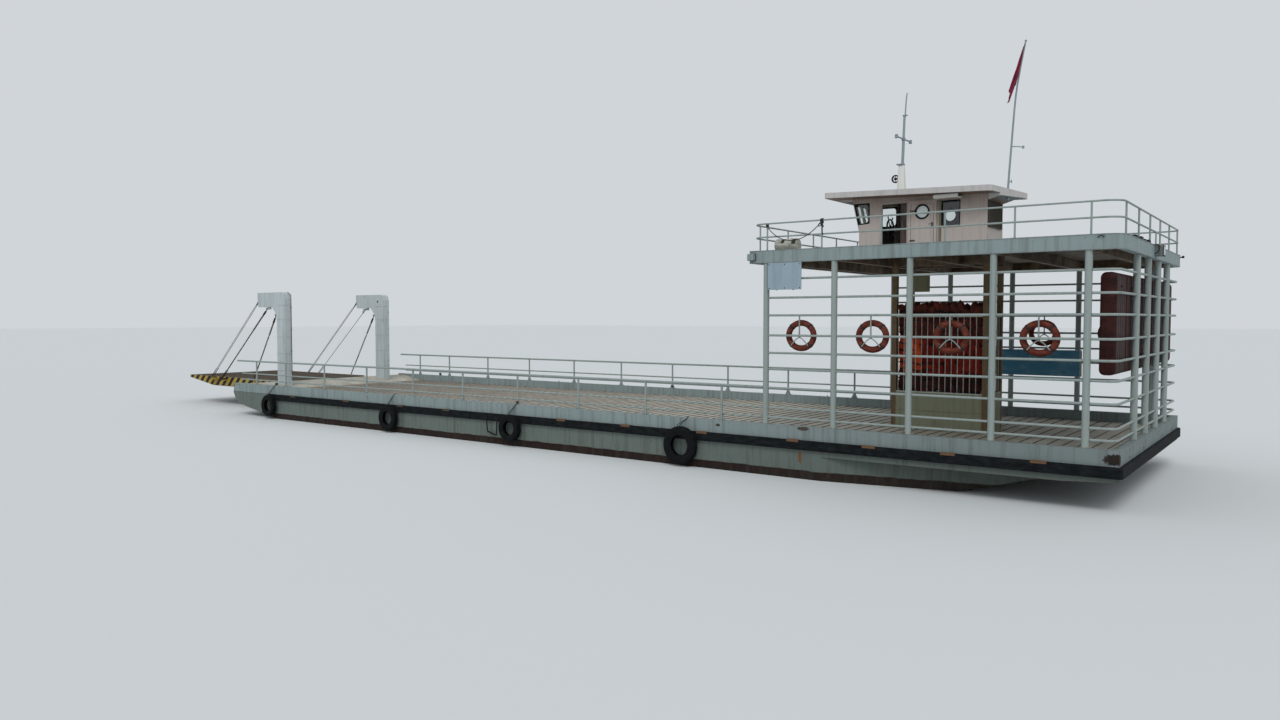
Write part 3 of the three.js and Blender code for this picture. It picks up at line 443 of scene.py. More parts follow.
# Mild steel strap, never painted: brown scale with orange bloom.
strap_rust = weathered_paint("rusted_mild_steel", "#6a4f39", rusting=0.45, streaks=0.6, rough=0.85)
straps, dull_straps = Form(), Form()
for s in (1, -1):
    for x in (11.90, 8.60, 5.62, 3.32, -1.64, -4.00, -6.49, -9.10, -11.04, -12.85, -14.71):
        strap = straps if x < 0 else dull_straps
        for y0, y1, low in ((4.186, 4.246, BAND_LOW - 0.001), (4.248, 4.256, BAND_LOW - 0.05)):
            y0, y1 = sorted((s * y0, s * y1))
            strap.block((x - 0.16, y0, low), (x + 0.16, y1, BAND_LOW + 0.012), 0.003)
straps.piece("strake_straps_aft", strap_rust, "hull_paint")
dull_straps.piece("strake_straps_forward", bar_rust, "hull_paint")

# Tyre fenders
# Old car and truck tyres hung flat on the side on ropes made fast to the bitts and posts: ribbed tread, bead
# and hollow carcass. Worn matt black.
tyre_rubber = worn_rubber("old_tyre_rubber", "#07090a", "#1a1e20", 0.8, 7.0)
# Place along the side, outer radius and height of the middle.
TYRES = ((13.370, 0.410, EDGE - 0.760), (6.110, 0.430, EDGE - 0.775), (0.340, 0.410, EDGE - 0.710),
         (-5.900, 0.500, EDGE - 0.715))
TYRE_Y = 4.18 + 0.07 + 0.100 + 0.002
RAIL_Y = 4.098
RAIL_POSTS = (14.600, 12.580, 10.090, 7.590, 5.100, 2.670, 0.240, -2.180, -4.590, -7.010)
# Section of a tyre of radius 1: radius from the axle and half of the section's width.
TREAD = ((0.526, 0.640), (0.552, 0.740), (0.632, 0.800), (0.726, 0.944), (0.842, 0.992),
         (0.926, 0.896), (0.964, 0.800), (0.981, 0.736), (0.981, 0.576), (0.958, 0.560),
         (0.958, 0.480), (0.990, 0.464), (0.996, 0.240), (0.970, 0.224), (0.970, 0.144),
         (0.998, 0.128))
CARCASS = ((0.939, 0.0), (0.926, 0.480), (0.863, 0.680), (0.737, 0.736), (0.600, 0.600), (0.535, 0.528))


def tyre_section(r, half):
    """Closed outline of a tyre's section: tread and sidewalls outside, carcass inside."""
    outside = [(a * r, -b * half) for a, b in TREAD] + [(a * r, b * half) for a, b in TREAD[::-1]]
    inside = [(a * r, b * half) for a, b in CARCASS[::-1]] + [(a * r, -b * half) for a, b in CARCASS[1:]]
    return outside + inside


for side, s in (("port", 1), ("starboard", -1)):
    lashing = Form()
    for i, (x, r, z) in enumerate(TYRES):
        tyre = Form().turned(tyre_section(r, 0.1), (x, s * TYRE_Y, z), (0, 1, 0), 56, True)
        tyre.piece(f"tyre_fender_{side}_{i + 1}", tyre_rubber, "tyre_rubber",
                   replaced=[f"tyre_{side}_{i + 1}"])
        tie = x - 0.16 if i == 0 else x - 0.12
        top = z + r
        for apart in (0.015, 0.085):
            lashing.tube(smooth_route([
                (x + apart, s * (TYRE_Y - 0.02), top - 0.06), (x + apart, s * (TYRE_Y + 0.02), top + 0.008),
                (x + apart - 0.02, s * 4.30, top + 0.06), (tie + 0.012, s * 4.205, EDGE - 0.02),
                (tie, s * 4.15, EDGE + 0.028), (tie - 0.01, s * RAIL_Y, EDGE + 0.045),
            ]), 0.009, 8)
        # The turns round the bitt or post.
        for k in range(3):
            turns = [2 * math.pi * j / 12 for j in range(12)]
            reach = 0.052 if i == 0 else 0.044
            middle = 13.21 if i == 0 else min(RAIL_POSTS, key=lambda post: abs(post - tie))
            if abs(middle - tie) < 0.25:
                lashing.tube([(middle + reach * math.cos(t), s * RAIL_Y + reach * math.sin(t),
                               EDGE + 0.05 + 0.018 * k) for t in turns], 0.009, 8, True)
    lashing.piece(f"tyre_lashings_{side}", rope_black, "rope_fibre")

# Boarding step by the third tyre: a round bar bent to a stirrup, painted black.
step_black = weathered_paint("bitumen_painted_bar", "#17191a", rusting=0.35, streaks=0.15)
stirrups = Form()
for s in (1, -1):
    stirrups.tube(smooth_route([
        (1.47, s * 4.252, EDGE - 0.42), (1.42, s * 4.275, EDGE - 0.47), (1.38, s * 4.275, EDGE - 0.84),
        (1.34, s * 4.275, EDGE - 0.90), (1.04, s * 4.275, EDGE - 0.98), (0.99, s * 4.275, EDGE - 0.94),
        (0.96, s * 4.275, EDGE - 0.57), (0.93, s * 4.252, EDGE - 0.50),
    ]), 0.020, 12)
    stirrups.tube([(1.34, s * 4.275, EDGE - 0.895), (1.04, s * 4.275, EDGE - 0.975)], 0.026, 10)
stirrups.piece("boarding_steps", step_black, "hull_paint")

# Bow ramp
# Welded plate on five girders. The outer girders carry faded yellow and black stripes over a white bottom
# flange, and the deck has bars welded across for grip.
RAMP_TOP = 2.23
RAMP_ROOT = 16.31


def ramp_coats(tree, place):
    """Slanting stripes 0.25 m wide on the girders' outsides, bare worn plate elsewhere."""
    part = add(tree, "SeparateXYZ", {"Vector": place})
    slant = add(tree, "Math", {0: part.outputs["X"], 1: part.outputs["Z"]}, operation="ADD").outputs[0]
    wave = add(tree, "Math", {0: slant, 1: 0.5}, operation="MODULO").outputs[0]
    band = region(tree, (wave, 0.25, 0.004))
    stripe = add(tree, "Mix", {0: band, 6: linear("#a98f3c"), 7: linear("#1c1c1a")},
                 data_type="RGBA").outputs[2]
    side = add(tree, "Math", {0: part.outputs["Y"]}, operation="ABSOLUTE").outputs[0]
    outside = region(tree, (side, 2.245, 0.003))
    return add(tree, "Mix", {0: outside, 6: linear("#6a665c"), 7: stripe}, data_type="RGBA").outputs[2]


ramp_plate = weathered_paint("worn_ramp_plate", ramp_coats, rusting=0.75, streaks=0.4, rough=0.6)
finish_node("bow_ramp", ramp_plate)
grip = Form()
for i in range(23):
    x = RAMP_ROOT + 0.16 + 0.3 * i
    grip.block((x - 0.02, -2.2, RAMP_TOP - 0.002), (x + 0.02, 2.2, RAMP_TOP + 0.012), 0.004)
grip.piece("ramp_grip_bars", bar_rust, "ramp_steel", "bow_ramp")
flange = Form()
for s in (1, -1):
    y0, y1 = sorted((s * 2.20, s * 2.275))
    flange.block((RAMP_ROOT + 0.1, y0, RAMP_TOP - 0.415), (RAMP_ROOT + 5.0, y1, RAMP_TOP - 0.398), 0.004)
flange_white = weathered_paint("white_flange_enamel", "#b4b6b0", rusting=0.6, streaks=0.5)
flange.piece("ramp_flanges", flange_white, "ramp_steel", "bow_ramp")

# Gantries
# Box posts of welded plate with forward heads that carry the ramp's hoist lines. White-grey enamel with rust
# along the welds, a conduit up the port one, and clips and an idle hook on the starboard one.
gantry_enamel = weathered_paint("brushed_marine_enamel_gantry", "#b8c1c3", rusting=0.4, streaks=0.3)
LINE_Y = 2.46
GANTRY_SECTION = ((14.940, 2.306), (15.548, 2.306), (15.548, 2.614), (14.940, 2.614))
for side, s in (("port", 1), ("starboard", -1)):
    finish_node(f"gantry_{side}", gantry_enamel)
    trim = Form()
    for z in (2.7, 3.4, 4.1, 4.8, 5.4):
        trim.tube([(x, s * y, z) for x, y in GANTRY_SECTION], 0.004, 6, True)
    trim.piece(f"gantry_weld_seams_{side}", gantry_enamel, "gantry_paint")
    fittings = Form()
    if side == "port":
        # The conduit and its clips.
        conduit = ((14.925, 2.335, 2.30), (14.918, 2.335, 3.6), (14.928, 2.330, 4.8), (14.925, 2.335, 5.70),
                   (14.955, 2.35, 5.84), (15.08, 2.40, 5.94))
        fittings.tube(smooth_route(conduit), 0.012, 10)
        for z in (2.6, 3.5, 4.4, 5.3):
            fittings.block((14.908, 2.335 - 0.022, z - 0.012), (14.946, 2.335 + 0.022, z + 0.012), 0.002)
    else:
        # Four small welded clips up the after face, and the idle hook.
        for z in (2.95, 3.62, 4.38, 5.12):
            fittings.block((14.936, -2.575 - 0.030, z - 0.008), (14.946, -2.575 + 0.030, z + 0.008), 0.002)
        hook = ((16.62, 5.34), (16.62, 5.22), (16.66, 5.15), (16.62, 5.10), (16.57, 5.14))
        fittings.tube(smooth_route([(x, -LINE_Y, z) for x, z in hook]), [0.012] * 16 + [0.008], 8)
    # Bolt head and washer on the head's inside.
    fittings.turned([(0.001, -0.01), (0.045, -0.01), (0.045, 0.006), (0.028, 0.008), (0.026, 0.022),
                     (0.001, 0.024)], (15.37, s * 2.307, 5.62), (0, -s, 0), 20)
    fittings.piece(f"gantry_fittings_{side}", bar_rust, "line_steel")

# Hoist lines
# A pair of greased wires to the ramp's outer eye, and chains with a thick upper fitting to the inner ones;
# the middle starboard one is plain wire. They turn on their upper pins and are hauled in as the ramp rises.
# Galvanised steel gone dark with grease: half gloss, brown in the hollows.
line_steel, tree, shader, place = new_finish("greased_galvanised_steel", Metallic=0.7, Roughness=0.5)
mottle = add(tree, "TexNoise", {"Vector": place, "Scale": 30.0, "Detail": 6.0}).outputs["Fac"]
tint = add(tree, "ValToRGB", {"Fac": mottle}, stops=((0.4, "#15120f"), (0.7, "#4c4037")))
tree.links.new(tint.outputs[0], shader.inputs["Base Color"])
bump = add(tree, "Bump", {"Height": mottle, "Distance": 0.002, "Strength": 0.6})
tree.links.new(bump.outputs[0], shader.inputs["Normal"])

EYE_Z = 2.19
# Upper pin, eye on the ramp, lengths of upper fitting and doubled tail, and what is left when hauled in.
LINES = {
    "wire": ((17.09, 5.59), (21.08, EYE_Z), 0.26, 0.66, 0.42),
    "chain": ((16.46, 5.26), (20.21, EYE_Z), 1.50, 0.57, 0.45),
    "stay": ((15.82, 5.00), (17.64, EYE_Z), 1.10, 0.0, 0.64),
}


def chain(form, start, end, wire=0.011, half=0.034, width=0.024):
    """Oval links from start to end, each turned a quarter to the next."""
    way = (end - start).normalized()
    across = Vector((0, 1, 0))
    up = way.cross(across)
    pitch = 2 * half - wire
    for i in range(int((end - start).length / pitch)):
        centre = start + way * pitch * (i + 0.5)
        flat = across if i % 2 else up
        oval = []
        for k in range(10):
            turn = 2 * math.pi * k / 10
            reach = half if abs(math.cos(turn)) > 0.4 else half * 0.9
            oval.append(centre + way * reach * math.cos(turn) + flat * width * math.sin(turn))
        form.tube(oval, wire, 6, True)


for side, s in (("port", 1), ("starboard", -1)):
    for name, ((x0, z0), (x1, z1), fitting, tail, keep) in LINES.items():
        pin, eye = Vector((x0, s * LINE_Y, z0)), Vector((x1, s * LINE_Y, z1))
        way = (eye - pin).normalized()
        lower = pin + way * fitting
        line = Form()
        line.turned([(0.001, -0.05), (0.032, -0.05), (0.032, 0.05), (0.001, 0.05)], pin, (0, 1, 0), 16)
        if name == "wire":
            line.tube([pin, lower], [0.034, 0.026], 10)
            for gap in (-0.03, 0.03):
                apart = Vector((0, gap, 0))
                line.tube([lower - way * 0.04 + apart * 0.3, lower + way * 0.15 + apart,
                           eye - way * 0.2 + apart, eye + apart * 0.3], 0.010, 8)
        elif (side, name) == ("starboard", "chain"):
            line.tube([pin, pin + way * 0.16], 0.020, 8)
            line.tube([pin + way * 0.12, eye], 0.011, 8)
        else:
            # The thick part is a lever hoist: a hooked head, its body, and doubled chain below.
            line.tube([pin, pin + way * 0.18], 0.018, 8)
            line.tube([pin + way * 0.15, pin + way * 0.19, pin + way * 0.38, pin + way * 0.42],
                      [0.020, 0.040, 0.040, 0.020], 12)
            chain(line, pin + way * 0.40, lower, 0.014, 0.042, 0.030)
            chain(line, lower - way * 0.02, eye)
        made = line.piece(f"hoist_line_{name}_{side}", line_steel, "line_steel", f"hoist_{name}_{side}",
                          [f"hoist_{name}_{side}"])
        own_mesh(made)
        if tail:
            # The doubled tail stays with the ramp, and still reaches the line when the ramp is let down.
            doubled = Form()
            for gap in (-0.050, 0.050):
                doubled.tube([eye + Vector((0, gap * 0.88, -0.03)), eye - way * 0.04 + Vector((0, gap, 0)),
                              eye - way * tail + Vector((0, gap, 0))], 0.008, 8)
            doubled.piece(f"hoist_tail_{name}_{side}", line_steel, "line_steel", "bow_ramp")

# Rails and cage
# Galvanised pipe welded to steel pillars, painted pale grey: three bars along the car deck and nine round the
# aft deck, bent round the stern corners. A strap and two legs in each bay carry a lifebuoy.
rail_enamel = weathered_paint("brushed_marine_enamel_rails", "#919c98", rusting=0.35, streaks=0.3, edge=0.02)
CAGE_STERN = -16.116
CAGE_X = (-8.290, -10.095, -11.910, -13.715, -15.555)
BAYS = [(a + b) / 2 for a, b in zip(CAGE_X, CAGE_X[1:])]
CAGE_Z = (0.165, 0.405, 0.890, 1.350, 1.750, 2.180, 2.670, 3.100, 3.560)
RAIL_BARS = ((0.165, 0.024, 15.650), (0.405, 0.024, 15.650), (0.900, 0.032, 16.000))
PILLAR = 0.072
PIPE = 0.027
RING_Z = EDGE + 2.18
ROOF_LOW = 6.20


def bent(points, reach, steps=6):
    """A pipe's centre line through the points, bent over the given reach before and after each corner."""
    points = [Vector(point) for point in points]
    route = [points[0]]
    for before, corner, after in zip(points, points[1:], points[2:]):
        back, on = (before - corner).normalized(), (after - corner).normalized()
        weight = math.sqrt(max((1 - back.dot(on)) / 2, 0))
        for i in range(steps + 1):
            t = i / steps
            share = (1 - t) ** 2 + 2 * weight * t * (1 - t) + t ** 2
            route.append(corner + reach * ((1 - t) ** 2 * back + t ** 2 * on) / share)
    return route + [points[-1]]


def post(form, x, y, low, high, radius):
    """A round post with a weld bead at its foot."""
    form.turned([(radius + 0.010, low), (radius + 0.010, low + 0.005), (radius, low + 0.014), (radius, high)],
                (x, y, 0), (0, 0, 1), 20)


for side, s in (("port", 1), ("starboard", -1)):
    y = s * RAIL_Y
    rail = Form()
    for x in RAIL_POSTS:
        post(rail, x, y, EDGE + 0.001, EDGE + 0.9, 0.030)
        foot = [(x - 0.11, EDGE + 0.001), (x + 0.11, EDGE + 0.001), (x + 0.025, EDGE + 0.17),
                (x - 0.025, EDGE + 0.17)]
        rail.plate([(a, y - 0.005, b) for a, b in foot], (0, 0.010, 0))
    for z, radius, front in RAIL_BARS:
        rail.tube([(front, y, EDGE + z), (front - 0.012, y, EDGE + z), (CAGE_X[0] + 0.074, y, EDGE + z)],
                  [radius * 0.6, radius, radius], 14)
    rail.piece(f"car_deck_rail_{side}", rail_enamel, "rail_paint", replaced=[f"side_rail_{side}"])
    cage = Form()
    for x in CAGE_X:
        post(cage, x, y, EDGE + 0.001, ROOF_LOW - 0.001, PILLAR)
    for z in CAGE_Z:
        cage.tube([(CAGE_X[0], y, EDGE + z), (CAGE_X[-1], y, EDGE + z)], PIPE, 14)
    for x in BAYS:
        y0, y1 = sorted((s * 4.076, s * 4.110))
        cage.block((x - 0.014, y0, RING_Z - 0.06), (x + 0.014, y1, EDGE + 2.67), 0.003)
        for lean in (-1, 1):
            cage.tube(smooth_route([(x, s * 4.088, RING_Z - 0.03),
                                    (x + lean * 0.11, s * 4.088, RING_Z - 0.11),
                                    (x + lean * 0.23, s * 4.088, RING_Z - 0.24)]), 0.013, 10)
    cage.piece(f"aft_deck_cage_{side}", rail_enamel, "rail_paint", replaced=[f"cage_{side}"])

stern = Form()
for y in (2.16, 0.72, -0.72, -2.16):
    post(stern, CAGE_STERN, y, EDGE + 0.001, ROOF_LOW - 0.001, PILLAR)
for z in CAGE_Z:
    end = CAGE_X[-1] - PILLAR - 0.002
    corners = [(end, RAIL_Y), (CAGE_STERN, RAIL_Y), (CAGE_STERN, -RAIL_Y), (end, -RAIL_Y)]
    stern.tube(bent([(x, y, EDGE + z) for x, y in corners], 0.20), PIPE, 14)
stern.piece("aft_deck_cage_stern", rail_enamel, "rail_paint", replaced=["cage_stern"])

# The roof rail is thinner pipe, two bars high, with wide bends at its corners.
roof_rail = Form()
for up in (0.650, 0.325):
    corners = [(-7.885, 0), (-7.885, 4.12), (-16.14, 4.12), (-16.14, -4.12), (-7.885, -4.12), (-7.885, 0)]
    roof_rail.tube(bent([(x, y, ROOF_TOP + up) for x, y in corners], 0.34, 8)[:-1], 0.020, 14, True)
places = [(-8.320 - 1.454 * i, s * 4.12) for i in range(6) for s in (1, -1)]
places += [(-7.885, y) for y in (3.70, 2.22, 0.74, -0.74, -2.22, -3.70)]
places += [(-16.14, y) for y in (3.70, 2.22, 0.74, -0.74, -2.22, -3.70)]
for x, y in places:
    post(roof_rail, x, y, ROOF_TOP + 0.001, ROOF_TOP + 0.65, 0.020)
roof_rail.piece("roof_deck_rail", rail_enamel, "rail_paint", replaced=["roof_rail"])

# Roof deck
# Plate on beams with a deep pressed edge that has a rolled lip above and below. The edge is pale blue-grey,
# the top dusty grey, and the underside has gone brown.
def roof_coats(tree, place):
    """Blue-grey edge, dusty top and rusty underside."""
    part = add(tree, "SeparateXYZ", {"Vector": place})
    up = add(tree, "SeparateXYZ", {"Vector": add(tree, "NewGeometry").outputs["Normal"]}).outputs["Z"]
    blotch = add(tree, "TexNoise",
                 {"Vector": place, "Scale": 2.2, "Detail": 8.0, "Roughness": 0.7}).outputs["Fac"]
    brown = add(tree, "ValToRGB", {"Fac": blotch}, stops=((0.35, "#4a3829"), (0.65, "#86745f")))
    flat = region(tree, (up, 0.6, 0.1))
    colour = add(tree, "Mix", {0: flat, 6: linear("#879595"), 7: linear("#8a8f8c")},
                 data_type="RGBA").outputs[2]
    # The underside lies inside the edge's inner face, 150 mm in.
    side = add(tree, "Math", {0: part.outputs["Y"]}, operation="ABSOLUTE").outputs[0]
    inside = region(tree, (part.outputs["X"], -16.06, 0.003), (part.outputs["X"], -7.95, -0.002),
                    (side, 4.05, -0.003), (part.outputs["Z"], 6.455, -0.002))
    return add(tree, "Mix", {0: inside, 6: colour, 7: brown.outputs[0]}, data_type="RGBA").outputs[2]


roof_enamel = weathered_paint("brushed_marine_enamel_roof", roof_coats, rusting=0.4, streaks=0.45)
finish_node("roof_deck", roof_enamel)
lip = Form()
for z, radius in ((6.208, 0.011), (6.500, 0.010)):
    corners = [(-7.86, 4.18, z), (-16.20, 4.18, z), (-16.20, -4.18, z), (-7.86, -4.18, z)]
    lip.tube(bent(corners, 0.35, 8), radius, 8, True)
lip.piece("roof_edge_lips", roof_enamel, "roof_paint")

# Sidelights on the roof edge: a dark sheet steel screen round a coloured glass, red to port, green to
# starboard.
screen_dark = weathered_paint("lamp_screen_enamel", "#2f2624", rusting=0.5, streaks=0.3)


def lamp_glass(name, tint):
    """Coloured pressed glass over a white bulb: bright, ribbed and half clear."""
    material, tree, shader, place = new_finish(name, Roughness=0.12, IOR=1.5)
    ribs = add(tree, "TexWave", {"Vector": place, "Scale": 30.0}, bands_direction="Z").outputs["Fac"]
    colour = add(tree, "ValToRGB", {"Fac": ribs})
    colour.color_ramp.elements[0].color = linear(tint)
    colour.color_ramp.elements[1].color = [0.6 * part + 0.1 for part in linear(tint)[:3]] + [1.0]
    tree.links.new(colour.outputs[0], shader.inputs["Base Color"])
    bump = add(tree, "Bump", {"Height": ribs, "Distance": 0.002, "Strength": 0.5})
    tree.links.new(bump.outputs[0], shader.inputs["Normal"])
    return material


for side, s, tint in (("port", 1, "#8e1c16"), ("starboard", -1, "#1c6b45")):
    screen = Form()
    y0, y1 = sorted((s * 4.176, s * 4.262))
    screen.block((-8.034, y0, 6.424), (-7.85, y1, 6.434), 0.002)
    screen.block((-8.034, y0, 6.266), (-7.85, y1, 6.276), 0.002)
    screen.block((-8.034, min(s * 4.176, s * 4.205), 6.27), (-8.020, max(s * 4.176, s * 4.205), 6.43), 0.002)
    screen.block((-7.864, y0, 6.27), (-7.850, y1, 6.43), 0.002)
    screen.piece(f"sidelight_screen_{side}", screen_dark, "roof_paint")
    lens = Form().turned([(0.001, 6.285), (0.030, 6.290), (0.034, 6.35), (0.030, 6.410), (0.001, 6.415)],
                         (-7.945, s * 4.222, 0), (0, 0, 1), 24)
    lens.piece(f"sidelight_lens_{side}", lamp_glass(f"pressed_lamp_glass_{side}", tint), "window_glass")

# Floodlight over the stern: pressed housing with cooling fins in a stirrup bracket, wired from black junction
# boxes along the roof's edge.
flood = Form()
flood.block((-16.378, 0.152, 6.244), (-16.358, 0.468, 6.496), 0.006)
for k in range(7):
    z = 6.262 + 0.036 * k
    flood.block((-16.35, 0.150, z), (-16.21, 0.470, z + 0.006), 0.002)
for y in (0.135, 0.485):
    flood.tube(bent([(-16.21, y, 6.30), (-16.30, y, 6.37), (-16.30, y, 6.50), (-16.12, y, 6.522)], 0.03, 4),
               0.009, 8)
flood.piece("floodlight_housing", screen_dark, "roof_paint")
lamp_pane = Form().block((-16.383, 0.185, 6.275), (-16.376, 0.435, 6.465), 0.003)
lamp_pane.piece("floodlight_glass", lamp_glass("etched_flood_glass", "#8f9692"), "window_glass")
wiring = Form()
for y, wide, tall in ((2.52, 0.11, 0.075), (2.28, 0.08, 0.055), (1.86, 0.13, 0.085), (1.40, 0.09, 0.06),
                      (0.86, 0.12, 0.08)):
    wiring.block((-16.165, y - wide, ROOF_TOP), (-16.055, y + wide, ROOF_TOP + tall), 0.012)
cable = ((-16.11, 2.9, 0.016), (-16.10, 2.2, 0.022), (-16.12, 1.4, 0.018), (-16.10, 0.5, 0.016))
wiring.tube(smooth_route([(x, y, ROOF_TOP + up) for x, y, up in cable]), 0.015, 10)
wiring.piece("floodlight_junction_boxes", step_black, "roof_paint")
# A pad eye on the port edge and a short lamp arm on the starboard quarter.
ears = Form()
ears.tube(smooth_route([(-15.72, 4.184, 6.44), (-15.75, 4.205, 6.46), (-15.81, 4.205, 6.46),
                        (-15.84, 4.184, 6.44)]), 0.010, 8)
ears.tube([(-16.195, -3.9, 6.45), (-16.27, -3.9, 6.46)], 0.016, 10)
ears.turned([(0.001, -0.03), (0.028, -0.03), (0.028, 0.03), (0.001, 0.03)], (-16.265, -3.9, 6.46), (0, 0, 1),
            16)
ears.piece("roof_edge_fittings", step_black, "roof_paint")

# Drum on the roof
# A small ribbed plastic drum lashed in two steel cradles: cream with black and yellow scuffs, its after end
# dark with oil.
drum_plastic = worn_rubber("scuffed_drum_plastic", "#96958a", "#cdcec4", 0.5, 5.0)
drum_dark = worn_rubber("oily_drum_plastic", "#191a18", "#57533a", 0.45, 9.0)
DRUM_Y = 3.2
DRUM_Z = ROOF_TOP + 0.1733
DRUM_R = 0.165
drum = Form()
profile = [(0.02, 0.0), (0.13, 0.0), (0.155, 0.006), (DRUM_R, 0.022)]
for at in (0.1525, 0.305, 0.4575):
    profile += [(DRUM_R, at - 0.020), (DRUM_R + 0.008, at - 0.010), (DRUM_R + 0.008, at + 0.010),
                (DRUM_R, at + 0.020)]
profile += [(DRUM_R, 0.588), (0.155, 0.604), (0.13, 0.610), (0.02, 0.610)]
drum.turned(profile, (-8.70, DRUM_Y, DRUM_Z), (1, 0, 0), 40)
drum.turned([(0.001, 0.0), (0.030, 0.0), (0.030, 0.020), (0.001, 0.022)],
            (-8.50, DRUM_Y, DRUM_Z + DRUM_R - 0.004), (0, 0, 1), 18)
drum.piece("ribbed_drum", drum_plastic, "drum_paint", replaced=["roof_drum"])
patches = Form()
for x0, x1, begin, end in ((-8.10, -8.24, 60, 150), (-8.27, -8.36, 20, 100), (-8.57, -8.68, 10, 170)):
    for a in range(begin, end, 10):
        arc = [math.radians(a + b) for b in (0, 10)]
        ends = [[(x, DRUM_Y + (DRUM_R + 0.003) * math.cos(t), DRUM_Z + (DRUM_R + 0.003) * math.sin(t))
                 for t in arc]
                for x in (x0, x1)]
        patches.plate([ends[0][0], ends[0][1], ends[1][1], ends[1][0]], (0, -0.004 * math.cos(arc[0]),
                                                                         -0.004 * math.sin(arc[0])))
patches.piece("drum_oil_patches", drum_dark, "drum_paint")
cradle = Form()
for x in (-8.6085, -8.1815):
    arch = [(x, DRUM_Y + (DRUM_R - 0.004) * math.sin(t), DRUM_Z - (DRUM_R - 0.004) * math.cos(t))
            for t in [math.radians(a) for a in range(-60, 61, 12)]]
    base = [(x, DRUM_Y + 0.12 - 0.024 * k, ROOF_TOP + 0.0005) for k in range(11)]
    cradle.plate(arch + base, (0.03, 0, 0))
cradle.piece("drum_cradles", rail_enamel, "drum_paint")

# Casing and life jackets
# Steel wall and corner posts under the wheelhouse with thin bars between them, and a switch board under the
# roof. Orange and red nylon life jackets, foam filled, are crammed behind the bars in five tiers.
WALL_TOP = EDGE + 0.67
CASING_AFT, CASING_FRONT = -12.616, -10.136


def casing_coats(tree, place):
    """Khaki wall, brown-olive posts and white-grey bars."""
    part = add(tree, "SeparateXYZ", {"Vector": place})
    middle = (CASING_AFT + CASING_FRONT) / 2
    along = add(tree, "Math", {0: part.outputs["X"], 1: middle}, operation="SUBTRACT").outputs[0]
    along = add(tree, "Math", {0: along}, operation="ABSOLUTE").outputs[0]
    side = add(tree, "Math", {0: part.outputs["Y"]}, operation="ABSOLUTE").outputs[0]
    corner = region(tree, (along, 1.108, 0.002), (side, 0.518, 0.002))
    above = region(tree, (part.outputs["Z"], WALL_TOP + 0.004, 0.002))
    colour = add(tree, "Mix", {0: above, 6: linear("#8f9279"), 7: linear("#c9cac2")},
                 data_type="RGBA").outputs[2]
    return add(tree, "Mix", {0: corner, 6: colour, 7: linear("#766347")}, data_type="RGBA").outputs[2]


casing_enamel = weathered_paint("brushed_marine_enamel_casing", casing_coats, rusting=0.4, streaks=0.4)
finish_node("casing", casing_enamel)
board_olive = weathered_paint("olive_sheet_steel", "#77755c", rusting=0.35, streaks=0.3)
switches = Form()
switches.block((-11.14, 0.64, EDGE + 3.28), (-10.66, 0.70, EDGE + 3.77), 0.008)
switches.block((-11.10, 0.695, EDGE + 3.32), (-10.70, 0.708, EDGE + 3.73), 0.006)
for x in (-11.05, -10.75):
    switches.tube([(x, 0.62, EDGE + 3.75), (x, 0.62, ROOF_LOW + 0.10)], 0.012, 8)
switches.piece("casing_switch_board", board_olive, "casing_paint")
# Weld beads and capping round the wall's top, and the stiffening swage along each of its sides.
swage = Form()
for s in (1, -1):
    for z in (DECK + 0.02, EDGE + 0.20):
        swage.tube([(CASING_AFT + 0.14, s * 0.652, z), (CASING_FRONT - 0.14, s * 0.652, z)], 0.008, 8)
swage.piece("casing_swages", casing_enamel, "casing_paint")


def woven_nylon(name, deep, bright, sheen=0.4, weave_scale=40.0):
    """Coated nylon cloth: a fine weave drawn at 4 mm so that it shows, faded on its high parts."""
    material, tree, shader, place = new_finish(name, Roughness=0.75, Specular_IOR_Level=0.15)
    shader.inputs["Sheen Weight"].default_value = sheen
    cloud = add(tree, "TexNoise",
                {"Vector": place, "Scale": 3.5, "Detail": 6.0, "Roughness": 0.6}).outputs["Fac"]
    tint = add(tree, "ValToRGB", {"Fac": cloud}, stops=((0.38, deep), (0.66, bright)))
    tree.links.new(tint.outputs[0], shader.inputs["Base Color"])
    warp = add(tree, "TexWave", {"Vector": place, "Scale": weave_scale}, bands_direction="X").outputs["Fac"]
    weft = add(tree, "TexWave", {"Vector": place, "Scale": weave_scale}, bands_direction="Z").outputs["Fac"]
    weave = add(tree, "Math", {0: warp, 1: weft}, operation="MULTIPLY").outputs[0]
    crease = add(tree, "TexNoise", {"Vector": place, "Scale": 14.0, "Detail": 5.0}).outputs["Fac"]
    fine = add(tree, "Bump", {"Height": weave, "Distance": 0.001, "Strength": 0.3})
    folds = add(tree, "Bump",
                {"Height": crease, "Distance": 0.02, "Strength": 0.6, "Normal": fine.outputs[0]})
    tree.links.new(folds.outputs[0], shader.inputs["Normal"])
    return material


orange_nylon = woven_nylon("fresh_orange_nylon", "#b83a1a", "#e8652f", 0.1)
red_nylon = woven_nylon("weathered_red_nylon", "#64190f", "#9c3020", 0.1)
# A darker red for the top two tiers.
darker_red_nylon = woven_nylon("darker_upper_tier_nylon", "#48201a", "#72352b", 0.1)
# A near-black copy of the red for the bottom tier: painted shade low in the pile, with some grime.
grimy_shaded_nylon = woven_nylon("grimy_and_shaded_nylon", "#2a1614", "#552a24", 0.1)
webbing_black = woven_nylon("black_polyester_webbing", "#101010", "#2a2a2a", 0.1)
draw = random.Random(11)


